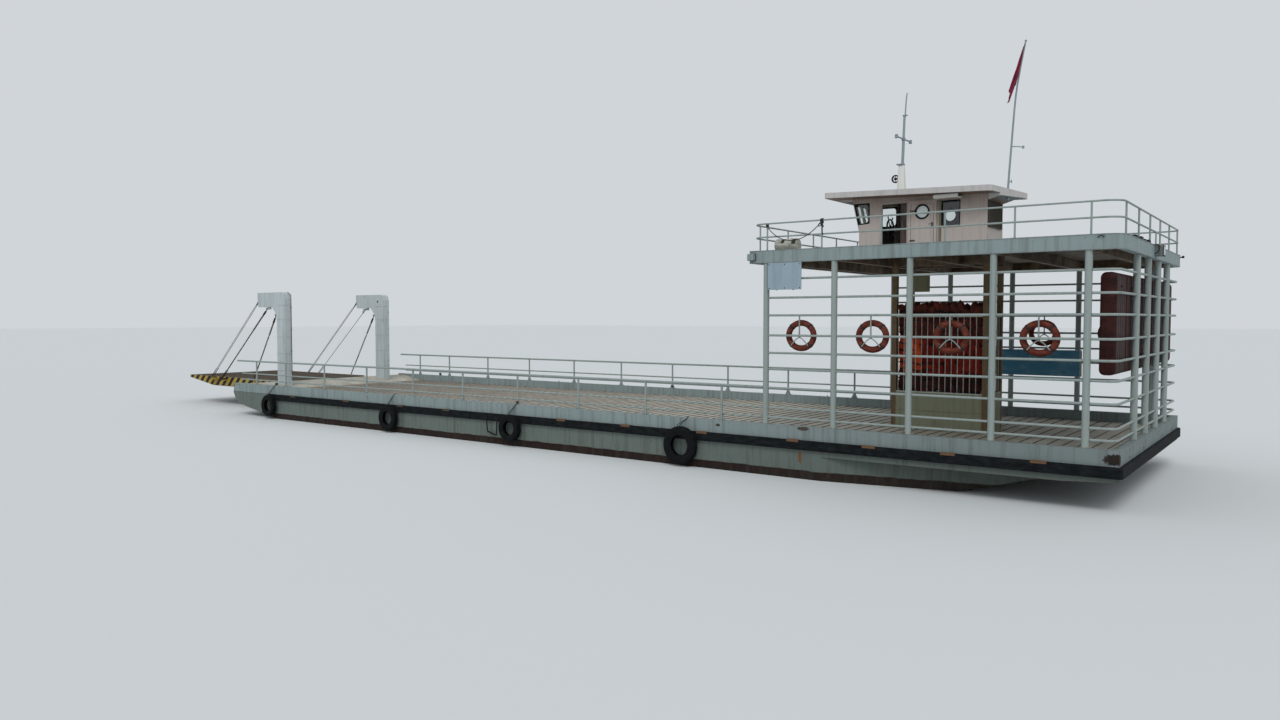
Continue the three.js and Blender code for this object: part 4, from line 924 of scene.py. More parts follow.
def sewn_vest(lean):
    """One vest before it is stowed: two fronts, a neck notch and arm holes, as points and faces."""
    across, up = 14, 16
    points, faces = [], []
    for face in (1, -1):
        for j in range(up + 1):
            for i in range(across + 1):
                u, v = 2 * i / across - 1, 2 * j / up - 1
                waist = 1 - 0.16 * math.exp(-((v - 0.15) / 0.3) ** 2) - 0.30 * max(0.0, v - 0.4) ** 1.5
                neck = 0.26 * math.exp(-(u / 0.34) ** 2) * max(0.0, v) ** 3
                plump = math.sqrt(max((1 - abs(u) ** 5) * (1 - abs(v) ** 6), 0))
                channel = 1 - 0.55 * math.exp(-(u / 0.10) ** 2) - 0.30 * math.exp(-((v + 0.18) / 0.07) ** 2)
                crumple = 1 + 0.15 * math.sin(4.2 * u + lean) * math.cos(3.4 * v + 2 * lean)
                points.append(Vector((0.19 * u * waist, face * 0.060 * plump * channel * crumple,
                                      0.27 * (v - neck) + 0.012 * math.sin(3 * u + lean))))
    count = (across + 1) * (up + 1)
    for base, flip in ((0, False), (count, True)):
        for j in range(up):
            for i in range(across):
                a = base + j * (across + 1) + i
                quad = (a, a + 1, a + across + 2, a + across + 1)
                faces.append(quad[::-1] if flip else quad)
    edge = list(range(across + 1)) + [(j + 1) * (across + 1) - 1 for j in range(1, up + 1)]
    edge += [up * (across + 1) + i for i in range(across - 1, -1, -1)]
    edge += [j * (across + 1) for j in range(up - 1, 0, -1)]
    for a, b in zip(edge, edge[1:] + edge[:1]):
        faces.append((b, a, count + a, count + b))
    return points, faces


def after_cloth(made, cloth, frames):
    """Where the points of an object are once its cloth has run for that many frames."""
    cloth.point_cache.frame_end = frames
    for frame_number in range(1, frames + 1):
        bpy.context.scene.frame_set(frame_number)
    result = made.evaluated_get(bpy.context.evaluated_depsgraph_get()).to_mesh()
    places = [vertex.co.copy() for vertex in result.vertices]
    bpy.context.scene.frame_set(1)
    return places


def settled(points, faces, frames, pressure, cap):
    """The form after its cloth has filled and creased, with no point moved further than the cap."""
    mesh = bpy.data.meshes.new("vest_pattern")
    mesh.from_pydata(points, [], faces)
    made = bpy.data.objects.new("vest_pattern", mesh)
    bpy.context.scene.collection.objects.link(made)
    tool = bmesh.new()
    tool.from_mesh(mesh)
    bmesh.ops.remove_doubles(tool, verts=tool.verts, dist=0.0004)
    bmesh.ops.recalc_face_normals(tool, faces=tool.faces)
    tool.to_mesh(mesh)
    tool.free()
    start = [vertex.co.copy() for vertex in mesh.vertices]
    cloth = made.modifiers.new("Cloth", "CLOTH")
    cloth.settings.quality = 5
    cloth.settings.mass = 0.2
    cloth.settings.bending_stiffness = 0.4
    cloth.settings.use_pressure = True
    cloth.settings.uniform_pressure_force = pressure
    cloth.settings.effector_weights.gravity = 0.0
    filled = []
    for before, after in zip(start, after_cloth(made, cloth, frames)):
        move = after - before
        filled.append(before + move * min(1.0, cap / max(move.length, 1e-6)))
    shells = [tuple(face.vertices) for face in mesh.polygons]
    bpy.data.objects.remove(made)
    return filled, shells


patterns = []
for lean in (0.4, 1.9, 3.3):
    pattern = sewn_vest(lean)
    patterns.append(settled(*pattern, 14, 5.0, 0.022))


def stow_vest(form, straps, pattern, centre, turn, size):
    """Lays a vest into the pile, with two belts round it."""
    spin = Euler(turn).to_matrix() * size
    points, faces = pattern
    start = len(form.points)
    form.points.extend(centre + spin @ point for point in points)
    form.faces.extend(tuple(start + i for i in face) for face in faces)
    for v in (-0.135, 0.03):
        loop = []
        for k in range(16):
            turn = 2 * math.pi * k / 16
            wide = 0.170 * (1 if abs(math.cos(turn)) > 0.3 else 0.95)
            deep = 0.064 * math.copysign(abs(math.sin(turn)) ** 0.5, math.sin(turn))
            loop.append(Vector((wide * math.cos(turn), deep, v)))
        section = []
        for point in loop:
            out = Vector((point.x, point.y * 6, 0)).normalized() * 0.004
            tall = Vector((0, 0, 0.018))
            section.append([centre + spin @ (point + out + tall), centre + spin @ (point + out - tall),
                            centre + spin @ (point - out - tall), centre + spin @ (point - out + tall)])
        straps.rings(section, True)


belts = Form()
# Tiers from the bottom: height of the middles and how far the vests lean out of line.
TIERS = ((EDGE + 0.99, 0.08), (EDGE + 1.42, 0.14), (EDGE + 1.90, 0.18), (EDGE + 2.36, 0.25),
         (EDGE + 2.72, 0.45))
for side, s in (("port", 1), ("starboard", -1)):
    for row, (height, untidy) in enumerate(TIERS):
        # The bottom tier takes the painted-shade copy of the red, and the top two tiers the darker red.
        fresh = 2 if row in (1, 2) else 0
        red = (grimy_shaded_nylon, red_nylon, red_nylon, darker_red_nylon, darker_red_nylon)[row]
        for shade, finish, columns in (("red", red, range(fresh, 7)), ("orange", orange_nylon, range(fresh))):
            if not columns:
                continue
            jackets = Form()
            for column in columns:
                for depth in (0.42, 0.17):
                    x = -10.42 - 0.302 * column + draw.uniform(-0.03, 0.03)
                    z = height + draw.uniform(-0.05, 0.05)
                    lean = (draw.uniform(-untidy, untidy), draw.uniform(-untidy, untidy) * 1.4,
                            draw.uniform(-0.5, 0.5) + (math.pi if draw.random() < 0.5 else 0))
                    stow_vest(jackets, belts, draw.choice(patterns),
                              Vector((x, s * (depth + draw.uniform(-0.02, 0.02)), z)), lean,
                              draw.uniform(1.02, 1.16))
            replaced = ["life_jackets"] if (side, row, shade) == ("port", 0, "red") else []
            made = jackets.piece(f"life_jackets_{shade}_{side}_tier_{row + 1}", finish, "jacket_fabric",
                                 replaced=replaced, sharp=80)
belts.piece("life_jacket_belts", webbing_black, "jacket_fabric")

# Lifebuoys
# Rotation-moulded oxide-red rings, a little wider than tall, with a parting seam and four black clips. They
# hang inside the bars on the cage's straps.
ring_plastic = worn_rubber("moulded_oxide_red_plastic", "#55251b", "#7e4234", 0.6, 6.0)
RING_R = 0.306
RING_TUBE = 0.074
RING_Y = RAIL_Y - PIPE - RING_TUBE - 0.004
WIDE = 1.08
for side, s in (("port", 1), ("starboard", -1)):
    clips = Form()
    for i, x in enumerate(BAYS):
        buoy = Form()
        sections = []
        for k in range(56):
            turn = 2 * math.pi * k / 56
            across = Vector((WIDE * math.cos(turn), 0, math.sin(turn)))
            middle = Vector((x, s * RING_Y, RING_Z)) + RING_R * across
            ring = []
            for j in range(20):
                t = 2 * math.pi * j / 20
                reach = RING_TUBE - (0.0 if j in (0, 10) else 0.002)
                aside = Vector((0, reach * math.sin(t), 0))
                ring.append(middle + across.normalized() * reach * math.cos(t) + aside)
            sections.append(ring)
        buoy.rings(sections, True)
        buoy.piece(f"lifebuoy_{side}_{i + 1}", ring_plastic, "ring_plastic",
                   replaced=[f"ring_{side}_{i + 1}"])
        for quarter in range(4):
            turn = math.pi * (0.25 + 0.5 * quarter)
            around = Vector((WIDE * math.cos(turn), 0, math.sin(turn)))
            on = Vector((x, s * RING_Y, RING_Z)) + RING_R * around
            way = Vector((-WIDE * math.sin(turn), 0, math.cos(turn))).normalized()
            clips.turned([(RING_TUBE - 0.004, -0.022), (RING_TUBE + 0.003, -0.020),
                          (RING_TUBE + 0.003, 0.020), (RING_TUBE - 0.004, 0.022)], on, way, 20, True)
    clips.piece(f"lifebuoy_clips_{side}", rope_black, "ring_plastic")

# Floats
# Seven slab floats stood on edge along the stern, moulded in dark red-brown plastic with grip slots and ribs,
# resting against two flat rails.
float_plastic = worn_rubber("moulded_float_plastic", "#2a1311", "#45211d", 0.6, 3.0)
FLOAT_X = (-16.030, -15.720)
FLOAT_Z = (EDGE + 1.45, EDGE + 3.52)
# The grip slots are near-black blocks set on the faces: painted shade for their hollows.
grip_slot_shade = worn_rubber("shadowed_grip_slot", "#100b0a", "#1c1311", 0.9)
slots = Form()
for i in range(7):
    left = (3 - i) * 1.11 - 0.535
    slab = Form()
    sections = []
    for k in range(33):
        part = k / 32
        y = left + 1.07 * part
        taper = min(part, 1 - part) * 1.07
        inset = 0.045 * (1 - min(1, math.sqrt(taper / 0.05)))
        rib = sum(math.exp(-((part - at) / 0.018) ** 2) for at in (0.2, 0.4, 0.6, 0.8)) * 0.012
        x0, x1 = FLOAT_X[0] + inset + rib, FLOAT_X[1] - inset - rib
        z0, z1 = FLOAT_Z[0] + inset, FLOAT_Z[1] - inset
        r = 0.11
        ring = []
        for cx, cz, begin in ((x1 - r, z1 - r, 0), (x0 + r, z1 - r, 90), (x0 + r, z0 + r, 180),
                              (x1 - r, z0 + r, 270)):
            for angle in range(begin, begin + 91, 18):
                turn = math.radians(angle)
                ring.append((cx + r * math.cos(turn), y, cz + r * math.sin(turn)))
        sections.append(ring)
    slab.rings(sections)
    slab.piece(f"float_slab_{i + 1}", float_plastic, "float_plastic", replaced=["floats"] if i == 0 else [])
    for z in (EDGE + 1.76, EDGE + 3.24):
        for x0, x1 in ((FLOAT_X[0] - 0.004, FLOAT_X[0] + 0.05), (FLOAT_X[1] - 0.05, FLOAT_X[1] + 0.004)):
            slots.block((x0, left + 0.44, z - 0.035), (x1, left + 0.63, z + 0.035), 0.02)
slots.piece("float_grip_slots", grip_slot_shade, "float_plastic")
rests = Form()
for z in (EDGE + 1.75, EDGE + 2.67):
    rests.block((-15.719, -4.06, z - 0.015), (-15.69, 4.06, z + 0.015))
rests.piece("float_rails", rail_enamel, "rail_paint")

# Boards
# A plain pale board bolted behind the first port pillar, and a plain sun-bleached sheet laced to a frame
# along the starboard bars, with a white hem at its after end.
board_enamel = weathered_paint("enamelled_sheet_steel", "#91a5b0", rusting=0.25, streaks=0.25, rough=0.4)
finish_node("number_board", board_enamel)
banner_vinyl = worn_rubber("sun_bleached_vinyl", "#4f8bab", "#83adc2", 0.5, 1.4)
finish_node("banner_board", banner_vinyl)
hem_white = worn_rubber("white_pvc_hem", "#a5aaab", "#d5d8d6", 0.5, 3.0)
hem = Form()
hem.block((-13.862, -3.940, EDGE + 0.958), (-13.80, -3.908, EDGE + 1.702), 0.003)
hem.block((-13.80, -3.939, EDGE + 0.958), (-11.198, -3.909, EDGE + 0.974), 0.003)
hem.block((-13.80, -3.939, EDGE + 1.686), (-11.198, -3.909, EDGE + 1.702), 0.003)
hem.piece("banner_hem", hem_white, "banner_sheet")
bolts = Form()
for x in (-9.24, -8.83, -8.41):
    for z in (EDGE + 3.33, EDGE + 3.90):
        bolts.turned([(0.014, -0.004), (0.014, 0.002), (0.010, 0.005), (0.001, 0.006)], (x, 4.187, z),
                     (0, 1, 0), 12)
for x in (-9.05, -8.60):
    bolts.block((x - 0.012, 4.12, EDGE + 3.28), (x + 0.012, 4.176, EDGE + 3.96), 0.002)
bolts.piece("number_board_bolts", step_black, "board_paint")

# Wheelhouse
# Thin plate walls leaning out at the front, painted a warm pale grey that rust water has turned brown under
# the eave. Side panes sit in black rubber pressed over the opening's edge, front ones in putty.
EAVE_AFT = 7.928


def eave_at(x):
    """Height of the eave's underside."""
    return EAVE_AFT + 0.152 * (x + 13.06) / 4.68


def house_coats(tree, place):
    """Warm grey outside, stained under the eave; inside painted shade in dull brown aft and painted light in
    cream round the front windows.
    """
    part = add(tree, "SeparateXYZ", {"Vector": place})
    ragged = add(tree, "TexNoise",
                 {"Vector": place, "Scale": 2.0, "Detail": 6.0, "Roughness": 0.6}).outputs["Fac"]
    z = add(tree, "Math", {0: ragged, 1: 0.9, 2: part.outputs["Z"]}, operation="MULTIPLY_ADD").outputs[0]
    stain = add(tree, "MapRange", {"Value": z, "From Min": 7.8, "From Max": 8.6, "To Max": 0.75}).outputs[0]
    colour = add(tree, "Mix", {0: stain, 6: linear("#beb3ac"), 7: linear("#8a7162")},
                 data_type="RGBA").outputs[2]
    side = add(tree, "Math", {0: part.outputs["Y"]}, operation="ABSOLUTE").outputs[0]
    # Inside, painted shade in dull brown, lifted to a cream painted light ahead of the front window posts.
    ahead = region(tree, (part.outputs["X"], -9.72, 0.1))
    inner = add(tree, "Mix", {0: ahead, 6: linear("#5c554f"), 7: linear("#c0b8a4")},
                data_type="RGBA").outputs[2]
    inside = region(tree, (part.outputs["X"], -12.513, 0.002), (part.outputs["X"], -9.236, -0.002),
                    (side, 0.602, -0.002))
    return add(tree, "Mix", {0: inside, 6: colour, 7: inner}, data_type="RGBA").outputs[2]


house_enamel = weathered_paint("brushed_marine_enamel_house", house_coats, rusting=0.3, streaks=0.22,
                               rough=0.5)
for name in ("house_port", "house_starboard", "house_front", "house_aft", "door_port", "door_starboard"):
    finish_node(name, house_enamel)


def eave_coats(tree, place):
    """White-grey edge, top and after wedge, pinkish brown underside."""
    part = add(tree, "SeparateXYZ", {"Vector": place})
    up = add(tree, "SeparateXYZ", {"Vector": add(tree, "NewGeometry").outputs["Normal"]}).outputs["Z"]
    ahead = region(tree, (part.outputs["X"], -12.70, 0.06))
    under = add(tree, "Mix", {0: ahead, 6: linear("#8b9493"), 7: linear("#8a6f63")},
                data_type="RGBA").outputs[2]
    over = region(tree, (up, -0.6, 0.1))
    return add(tree, "Mix", {0: over, 6: under, 7: linear("#c3bfbd")}, data_type="RGBA").outputs[2]


eave_enamel = weathered_paint("brushed_marine_enamel_eave", eave_coats, rusting=0.3, streaks=0.3)
finish_node("wheelhouse_roof", eave_enamel)
# Float glass, slightly green and dusty.
window_glass, tree, shader, place = new_finish("float_glass", Roughness=0.04, Transmission_Weight=1.0,
                                               IOR=1.5)
shader.inputs["Base Color"].default_value = linear("#f0f5f2")
dust = add(tree, "TexNoise", {"Vector": place, "Scale": 6.0, "Detail": 5.0}).outputs["Fac"]
haze = add(tree, "MapRange",
           {"Value": dust, "From Min": 0.4, "From Max": 0.8, "To Min": 0.02, "To Max": 0.08})
tree.links.new(haze.outputs[0], shader.inputs["Roughness"])
finish_node("aft_window", window_glass)
# Off-white enamel, still glossy.
mast_enamel = weathered_paint("brushed_marine_enamel_mast", "#d9d9d2", rusting=0.25, streaks=0.2)
# Acrylic sheet gone milky in the sun, cloudier in patches.
milky_acrylic = worn_rubber("sun_milked_acrylic", "#d3dada", "#e8eded", 0.3, 2.5, 0.5)
# Black rubber channel: matt, with a grey bloom.
channel_rubber = worn_rubber("black_channel_rubber", "#0f1112", "#26292a", 0.7, 9.0)
# Grey putty weathered pale in the front panes.
pale_gasket = worn_rubber("weathered_window_putty", "#8b8d86", "#b9bab2", 0.8, 9.0)


def rounded(corners, reach, steps=5):
    """An outline through the corners, each rounded over the given reach."""
    outline = []
    for i, corner in enumerate(corners):
        back = (corners[i - 1] - corner).normalized() * reach
        on = (corners[(i + 1) % len(corners)] - corner).normalized() * reach
        outline += [corner + (1 - k / steps) ** 2 * back + (k / steps) ** 2 * on for k in range(steps + 1)]
    return outline


def square_opening(corners, reach=0.06):
    """Outlines of a square-cut opening, given as a function of how far outside its edge they run."""
    corners = [Vector(corner) for corner in corners]
    middle = sum(corners, Vector((0, 0))) / len(corners)

    def outline(by):
        out = [corner + by * Vector((math.copysign(1, (corner - middle).x),
                                     math.copysign(1, (corner - middle).y)))
               for corner in corners]
        return rounded(out, reach if by < -0.005 else 0.015)
    return outline


def round_opening(middle, radius):
    """The same for a porthole."""
    def outline(by):
        turns = [2 * math.pi * k / 36 for k in range(36)]
        return [Vector(middle) + (radius + by) * Vector((math.cos(t), math.sin(t))) for t in turns]
    return outline


def glaze(rubber, glass, outline, place, wall, lap=0.014, show=0.028):
    """A rubber channel lapping both faces of a wall, and the pane in it. place sets a point at a depth."""
    outer, edge, inner = outline(lap), outline(-0.001), outline(-show)
    depths = ((outer, 0.010), (inner, 0.010), (inner, -wall - 0.010), (outer, -wall - 0.010),
              (outer, -wall - 0.001), (edge, -wall - 0.001), (edge, 0.001), (outer, 0.001))
    rubber.rings([[place(points[i], depth) for points, depth in depths] for i in range(len(outer))], True)
    pane = outline(0.004 - show)
    if glass:
        glass.rings([[place(p, -wall / 2 - 0.003) for p in pane],
                     [place(p, -wall / 2 + 0.003) for p in pane]])


HOUSE_Y = 0.65
WALL = 0.05


def on_port(p, depth):
    """A point on the port wall's outer face, moved outward by a depth."""
    return (p.x, HOUSE_Y + depth, p.y)


def on_starboard(p, depth):
    """The same on the starboard wall."""
    return (p.x, -HOUSE_Y - depth, p.y)


def on_front(p, depth):
    """The same on the front wall, which leans out from 0.64 m up."""
    lean = 0.21 * max(p.y - ROOF_TOP - 0.64, 0) / 0.91
    return (-9.19 + lean + depth, p.x, p.y)


surrounds, front_gaskets, clear = Form(), Form(), Form()
glaze(surrounds, clear, square_opening([(-11.88, 7.17), (-11.42, 7.17), (-11.42, 7.83), (-11.88, 7.83)]),
      on_port, WALL, 0.008, 0.012)
for place_at, aft_edge in ((on_port, -9.47), (on_starboard, -9.74)):
    corners = [(aft_edge, 7.39), (-9.17, 7.37), (-9.05, 7.91), (aft_edge, 7.91)]
    glaze(surrounds, clear, square_opening(corners, 0.10), place_at, WALL, 0.012, 0.016)
glaze(surrounds, clear, round_opening((-11.22, 7.59), 0.165), on_starboard, WALL, 0.035, 0.020)
for y in (-0.36, 0.0, 0.36):
    corners = [(y - 0.16, 7.27), (y + 0.16, 7.27), (y + 0.16, 7.89), (y - 0.16, 7.89)]
    glaze(front_gaskets, clear, square_opening(corners), on_front, WALL, 0.006, 0.009)
surrounds.piece("window_surrounds", channel_rubber, "strake_rubber")
front_gaskets.piece("front_window_gaskets", pale_gasket, "strake_rubber")
clear.piece("window_panes", window_glass, "window_glass")

# Doors: pressed plate with a porthole, two strap hinges, a lever latch and a bead round the edge. The port
# one is stored open, so its outer face lies against the wall, and the starboard one is shut.
hinge_steel = weathered_paint("greasy_hinge_steel", "#4c4a45", rusting=0.6, streaks=0.2)
# Middle of the leaf, its face, where the latch and the hinge straps are, and how far the lever stands out.
for side, middle, face, latch, strap, grip_out in (("port", -10.935, 0.715, -11.20, -10.61, 0.045),
                                                   ("starboard", -10.165, -0.695, -9.865, -10.49, 0.012)):
    sign = 1 if face > 0 else -1
    way = -sign

    def on_leaf(p, depth, face=face, sign=sign):
        """A point on the leaf's face, moved off it by a depth."""
        return (p.x, face + sign * depth, p.y)

    rim, port_glass = Form(), Form()
    glaze(rim, port_glass, round_opening((middle, 7.59), 0.165), on_leaf, 0.040, 0.030, 0.012)
    rim.piece(f"door_porthole_rim_{side}", channel_rubber, "strake_rubber", f"door_{side}")
    port_glass.piece(f"door_porthole_pane_{side}", milky_acrylic if side == "port" else window_glass,
                     "window_glass", f"door_{side}")
    furniture = Form()
    y0, y1 = sorted((face, face + sign * 0.008))
    for z in (6.86, 7.62):
        furniture.block((min(strap, strap + way * 0.14), y0, z - 0.02),
                        (max(strap, strap + way * 0.14), y1, z + 0.02), 0.002)
    furniture.block((latch - 0.02, y0, 7.20), (latch + 0.02, y1, 7.31))
    furniture.tube(smooth_route([(latch, face, 7.27), (latch, face + sign * grip_out, 7.27),
                                 (latch - way * 0.09, face + sign * grip_out, 7.26)]), 0.006, 10)
    bead = [(middle - 0.30, 6.66), (middle + 0.30, 6.66), (middle + 0.30, 7.78), (middle - 0.30, 7.78)]
    furniture.tube([(x, face, z) for x, z in bead], 0.006, 8, True)
    furniture.piece(f"door_furniture_{side}", hinge_steel, "house_paint", f"door_{side}")

# Trim on the walls: an olive strip up the wall by the open door's edge, door frame and foot beads, and lamp
# brackets under the front overhang.
trim = Form()
trim.block((-11.41, 0.649, ROOF_TOP + 0.001), (-11.35, 0.668, 7.93), 0.004)
trim.piece("olive_wall_strip", board_olive, "house_paint")
frames = Form()
for s in (1, -1):
    outline = [(-10.500, 6.575), (-9.780, 6.575), (-9.780, 7.905), (-10.500, 7.905)]
    frames.tube([(x, s * 0.651, z) for x, z in outline], 0.007, 8)
    frames.tube([(-9.19, s * 0.652, ROOF_TOP + 0.02), (-12.56, s * 0.652, ROOF_TOP + 0.02)], 0.008, 8)
frames.piece("door_frame_beads", eave_enamel, "house_paint")
brackets = Form()
for y in (0.52, 0.30):
    brackets.turned([(0.001, 0.0), (0.035, 0.0), (0.035, -0.012), (0.026, -0.050), (0.001, -0.055)],
                    (-8.75, y, eave_at(-8.75) - 0.002), (0, 0, 1), 20)
brackets.block((-8.90, 0.16, eave_at(-8.9) - 0.082), (-8.86, 0.62, eave_at(-8.9) - 0.062))
brackets.piece("overhang_lamp_brackets", hinge_steel, "house_paint")
# The visor over the square window: a near-black pane in a white frame, the pane's dark being painted shade on
# the visor's underside.
sash_shade_glass = worn_rubber("shaded_sash_glass", "#17191a", "#3c3d3c", 0.15, 4.0, 0.5)
sash = Form()
sash_top = [(0.70, 7.895), (0.95, 7.861), (0.95, 7.857), (0.70, 7.891)]
sash.rings([[(x, y, z - 0.012) for y, z in sash_top] for x in (-11.89, -11.43)])
sash.piece("sash_pane", sash_shade_glass, "window_glass")
sash_frame = Form()
sash_frame.block((-11.93, 0.966, 7.862), (-11.31, 0.990, 7.958), 0.004)
for x in (-11.93, -11.39):
    sash_frame.rings([[(x - 0.014, y, z - drop) for y, z in ((0.655, 7.925), (0.97, 7.885))]
                      + [(x + 0.014, y, z - drop) for y, z in ((0.97, 7.885), (0.655, 7.925))]
                      for drop in (0, 0.055)])
sash_frame.piece("sash_frame", mast_enamel, "house_paint")
# Louvre over the after window: upright hardwood slats in a frame, brown and dirty.
louvre_wood = weathered_paint("dirty_louvre_slats", "#37362f", rusting=0.2, streaks=0.5)
louvre = Form()
louvre.block((-12.600, -0.49, 7.12), (-12.561, -0.46, 7.775))
louvre.block((-12.600, 0.62, 7.12), (-12.561, 0.65, 7.775))
louvre.block((-12.600, -0.46, 7.12), (-12.561, 0.62, 7.15))
for k in range(19):
    y = -0.43 + 0.057 * k
    slat = [(-12.592, y - 0.012), (-12.588, y - 0.016), (-12.564, y + 0.022), (-12.568, y + 0.026)]
    louvre.rings([[(a, b, z) for a, b in slat] for z in (7.15, 7.77)])
louvre.piece("after_window_louvre", louvre_wood, "house_paint")
# Inside: a wooden locker abaft the door, a bench along the after wall and a bare bulb.
locker_wood, tree, shader, place = new_finish("varnished_plywood", Roughness=0.5)
grain = add(tree, "Mapping", {"Vector": place, "Scale": (6.0, 6.0, 0.6)}).outputs[0]
figure = add(tree, "TexNoise", {"Vector": grain, "Scale": 3.0, "Detail": 6.0}).outputs["Fac"]
tint = add(tree, "ValToRGB", {"Fac": figure}, stops=((0.4, "#2c211c"), (0.65, "#55423a")))
tree.links.new(tint.outputs[0], shader.inputs["Base Color"])
locker = Form()
locker.block((-10.50, 0.02, ROOF_TOP + 0.004), (-10.30, 0.56, 7.88), 0.006)
locker.block((-10.298, 0.05, ROOF_TOP + 0.08), (-10.290, 0.53, 7.20), 0.003)
locker.block((-10.298, 0.05, 7.23), (-10.290, 0.53, 7.85), 0.003)
locker.turned([(0.001, 0.02), (0.012, 0.02), (0.012, 0.0), (0.006, -0.01)], (-10.29, 0.48, 7.10), (1, 0, 0),
              12)
locker.block((-12.49, -0.58, ROOF_TOP + 0.38), (-12.05, 0.58, ROOF_TOP + 0.42), 0.008)
for y in (-0.52, 0.52):
    locker.block((-12.12, y - 0.02, ROOF_TOP + 0.004), (-12.08, y + 0.02, ROOF_TOP + 0.38))
locker.piece("wheelhouse_locker_and_bench", locker_wood, "helm_wood")
bulb = Form().turned([(0.001, 0.0), (0.014, 0.0), (0.014, -0.035), (0.030, -0.070), (0.024, -0.095),
                      (0.001, -0.104)], (-10.9, 0.0, eave_at(-10.9) - 0.002), (0, 0, 1), 20)
bulb.piece("ceiling_bulb", milky_acrylic, "window_glass")

# Helm
# Varnished hardwood wheel with six turned spokes and a boss, before a console with gauges, boss and console
# in the wheel's finish.
helm_wood, tree, shader, place = new_finish("varnished_hardwood", Roughness=0.35)
rings = add(tree, "TexWave", {"Vector": place, "Scale": 6.0, "Distortion": 6.0, "Detail": 3.0})
tint = add(tree, "ValToRGB", {"Fac": rings.outputs["Fac"]}, stops=((0.0, "#1f2024"), (1.0, "#3a3b40")))
tree.links.new(tint.outputs[0], shader.inputs["Base Color"])
WHEEL_X, WHEEL_Z, WHEEL_R = -9.80, ROOF_TOP + 0.78, 0.23
wheel = Form()
felloe = [(WHEEL_R - 0.020, -0.014), (WHEEL_R - 0.014, -0.020), (WHEEL_R + 0.012, -0.020),
          (WHEEL_R + 0.018, -0.012), (WHEEL_R + 0.018, 0.012), (WHEEL_R + 0.012, 0.020),
          (WHEEL_R - 0.014, 0.020), (WHEEL_R - 0.020, 0.014)]
wheel.turned(felloe, (WHEEL_X, 0, WHEEL_Z), (1, 0, 0), 48, True)
for k in range(6):
    turn = math.radians(60 * k)
    way = (0, math.cos(turn), math.sin(turn))
    wheel.turned([(0.012, 0.03), (0.017, 0.07), (0.010, 0.12), (0.013, 0.20), (0.016, 0.235), (0.012, 0.265),
                  (0.018, 0.31), (0.012, 0.345), (0.001, 0.350)], (WHEEL_X, 0, WHEEL_Z), way, 14)
wheel.turned([(0.001, -0.036), (0.032, -0.034), (0.046, -0.024), (0.046, 0.024), (0.022, 0.034),
              (0.022, 0.110)], (WHEEL_X, 0, WHEEL_Z), (1, 0, 0), 28)
desk = [(-9.70, ROOF_TOP + 0.002), (-9.30, ROOF_TOP + 0.002), (-9.30, ROOF_TOP + 0.76),
        (-9.42, ROOF_TOP + 0.86), (-9.70, ROOF_TOP + 0.80)]
wheel.plate([(x, -0.52, z) for x, z in desk], (0, 1.04, 0))
wheel.piece("helm_wheel_and_console", helm_wood, "helm_wood", replaced=["helm"])
gauges = Form()
for y in (-0.34, -0.20, 0.20, 0.34):
    gauges.turned([(0.001, 0.012), (0.040, 0.012), (0.050, 0.010), (0.052, 0.0), (0.052, -0.01)],
                  (-9.56, y, ROOF_TOP + 0.833), (-0.21, 0, 0.98), 24)
gauges.piece("console_gauges", channel_rubber, "helm_wood")

# Mast and flagstaff
# Tapered sheet steel foot with a cap plate, and a galvanised pole with a cross arm, two lamps and a whip
# aerial. A ring horn with a hub hangs ahead of the foot. The flagstaff is bent pipe, leaning aft, with a
# cleat and an arm.
pole_zinc = weathered_paint("dull_galvanised_pipe", "#8b999d", rusting=0.3, streaks=0.3, rough=0.45)
MAST_X = -10.10
foot_base = eave_at(MAST_X) + 0.146
mast_foot = Form()
levels = ((foot_base, 0.130, 0.110), (foot_base + 0.012, 0.130, 0.110), (foot_base + 0.016, 0.106, 0.086),
          (8.925, 0.071, 0.061), (8.94, 0.066, 0.056))
sections = []
for z, a, b in levels:
    corners = [Vector((MAST_X + a * i, b * j)) for i, j in ((-1, -1), (1, -1), (1, 1), (-1, 1))]
    sections.append([(v.x, v.y, z) for v in rounded(corners, 0.016, 3)])
mast_foot.rings(sections)
mast_foot.piece("mast_foot", mast_enamel, "mast_paint", replaced=["mast"])
pole = Form()
pole.block((-10.160, -0.09, 8.955), (-9.980, 0.09, 8.985))
pole.block((-10.150, -0.08, 8.938), (-10.06, 0.08, 8.954))
pole.turned([(0.050, 0.0), (0.050, 0.012), (0.038, 0.022), (0.038, 0.62), (0.034, 0.63), (0.030, 1.292),
             (0.001, 1.294)], (-10.12, 0, 8.984), (-0.0315, 0, 1.0), 24)
pole.tube([(-10.140, -0.50, 9.64), (-10.140, 0.50, 9.64)], 0.020, 16)
pole.turned([(0.052, -0.03), (0.052, 0.03), (0.030, 0.036)], (-10.138, 0, 9.64), (0, 0, 1), 24)
for y in (-0.5, 0.5):
    pole.turned([(0.001, -0.050), (0.040, -0.048), (0.046, -0.038), (0.046, -0.028), (0.040, -0.024),
                 (0.040, 0.024), (0.046, 0.028), (0.046, 0.036), (0.030, 0.050), (0.001, 0.056)],
                (-10.140, y, 9.64), (0, 0, 1), 24)
pole.block((-10.235, -0.030, 10.246), (-10.115, 0.030, 10.276))
pole.tube([(-10.175, 0, 10.20), (-10.185, 0, 10.40), (-10.205, 0, 10.70), (-10.225, 0, 10.85)],
          [0.018, 0.018, 0.017, 0.015], 12)
pole.piece("mast_pole_and_lamps", pole_zinc, "mast_paint")
horn = Form()
horn_at = Vector((-9.930, 0, 8.600))
around = [math.radians(a) for a in range(0, 360, 30)]
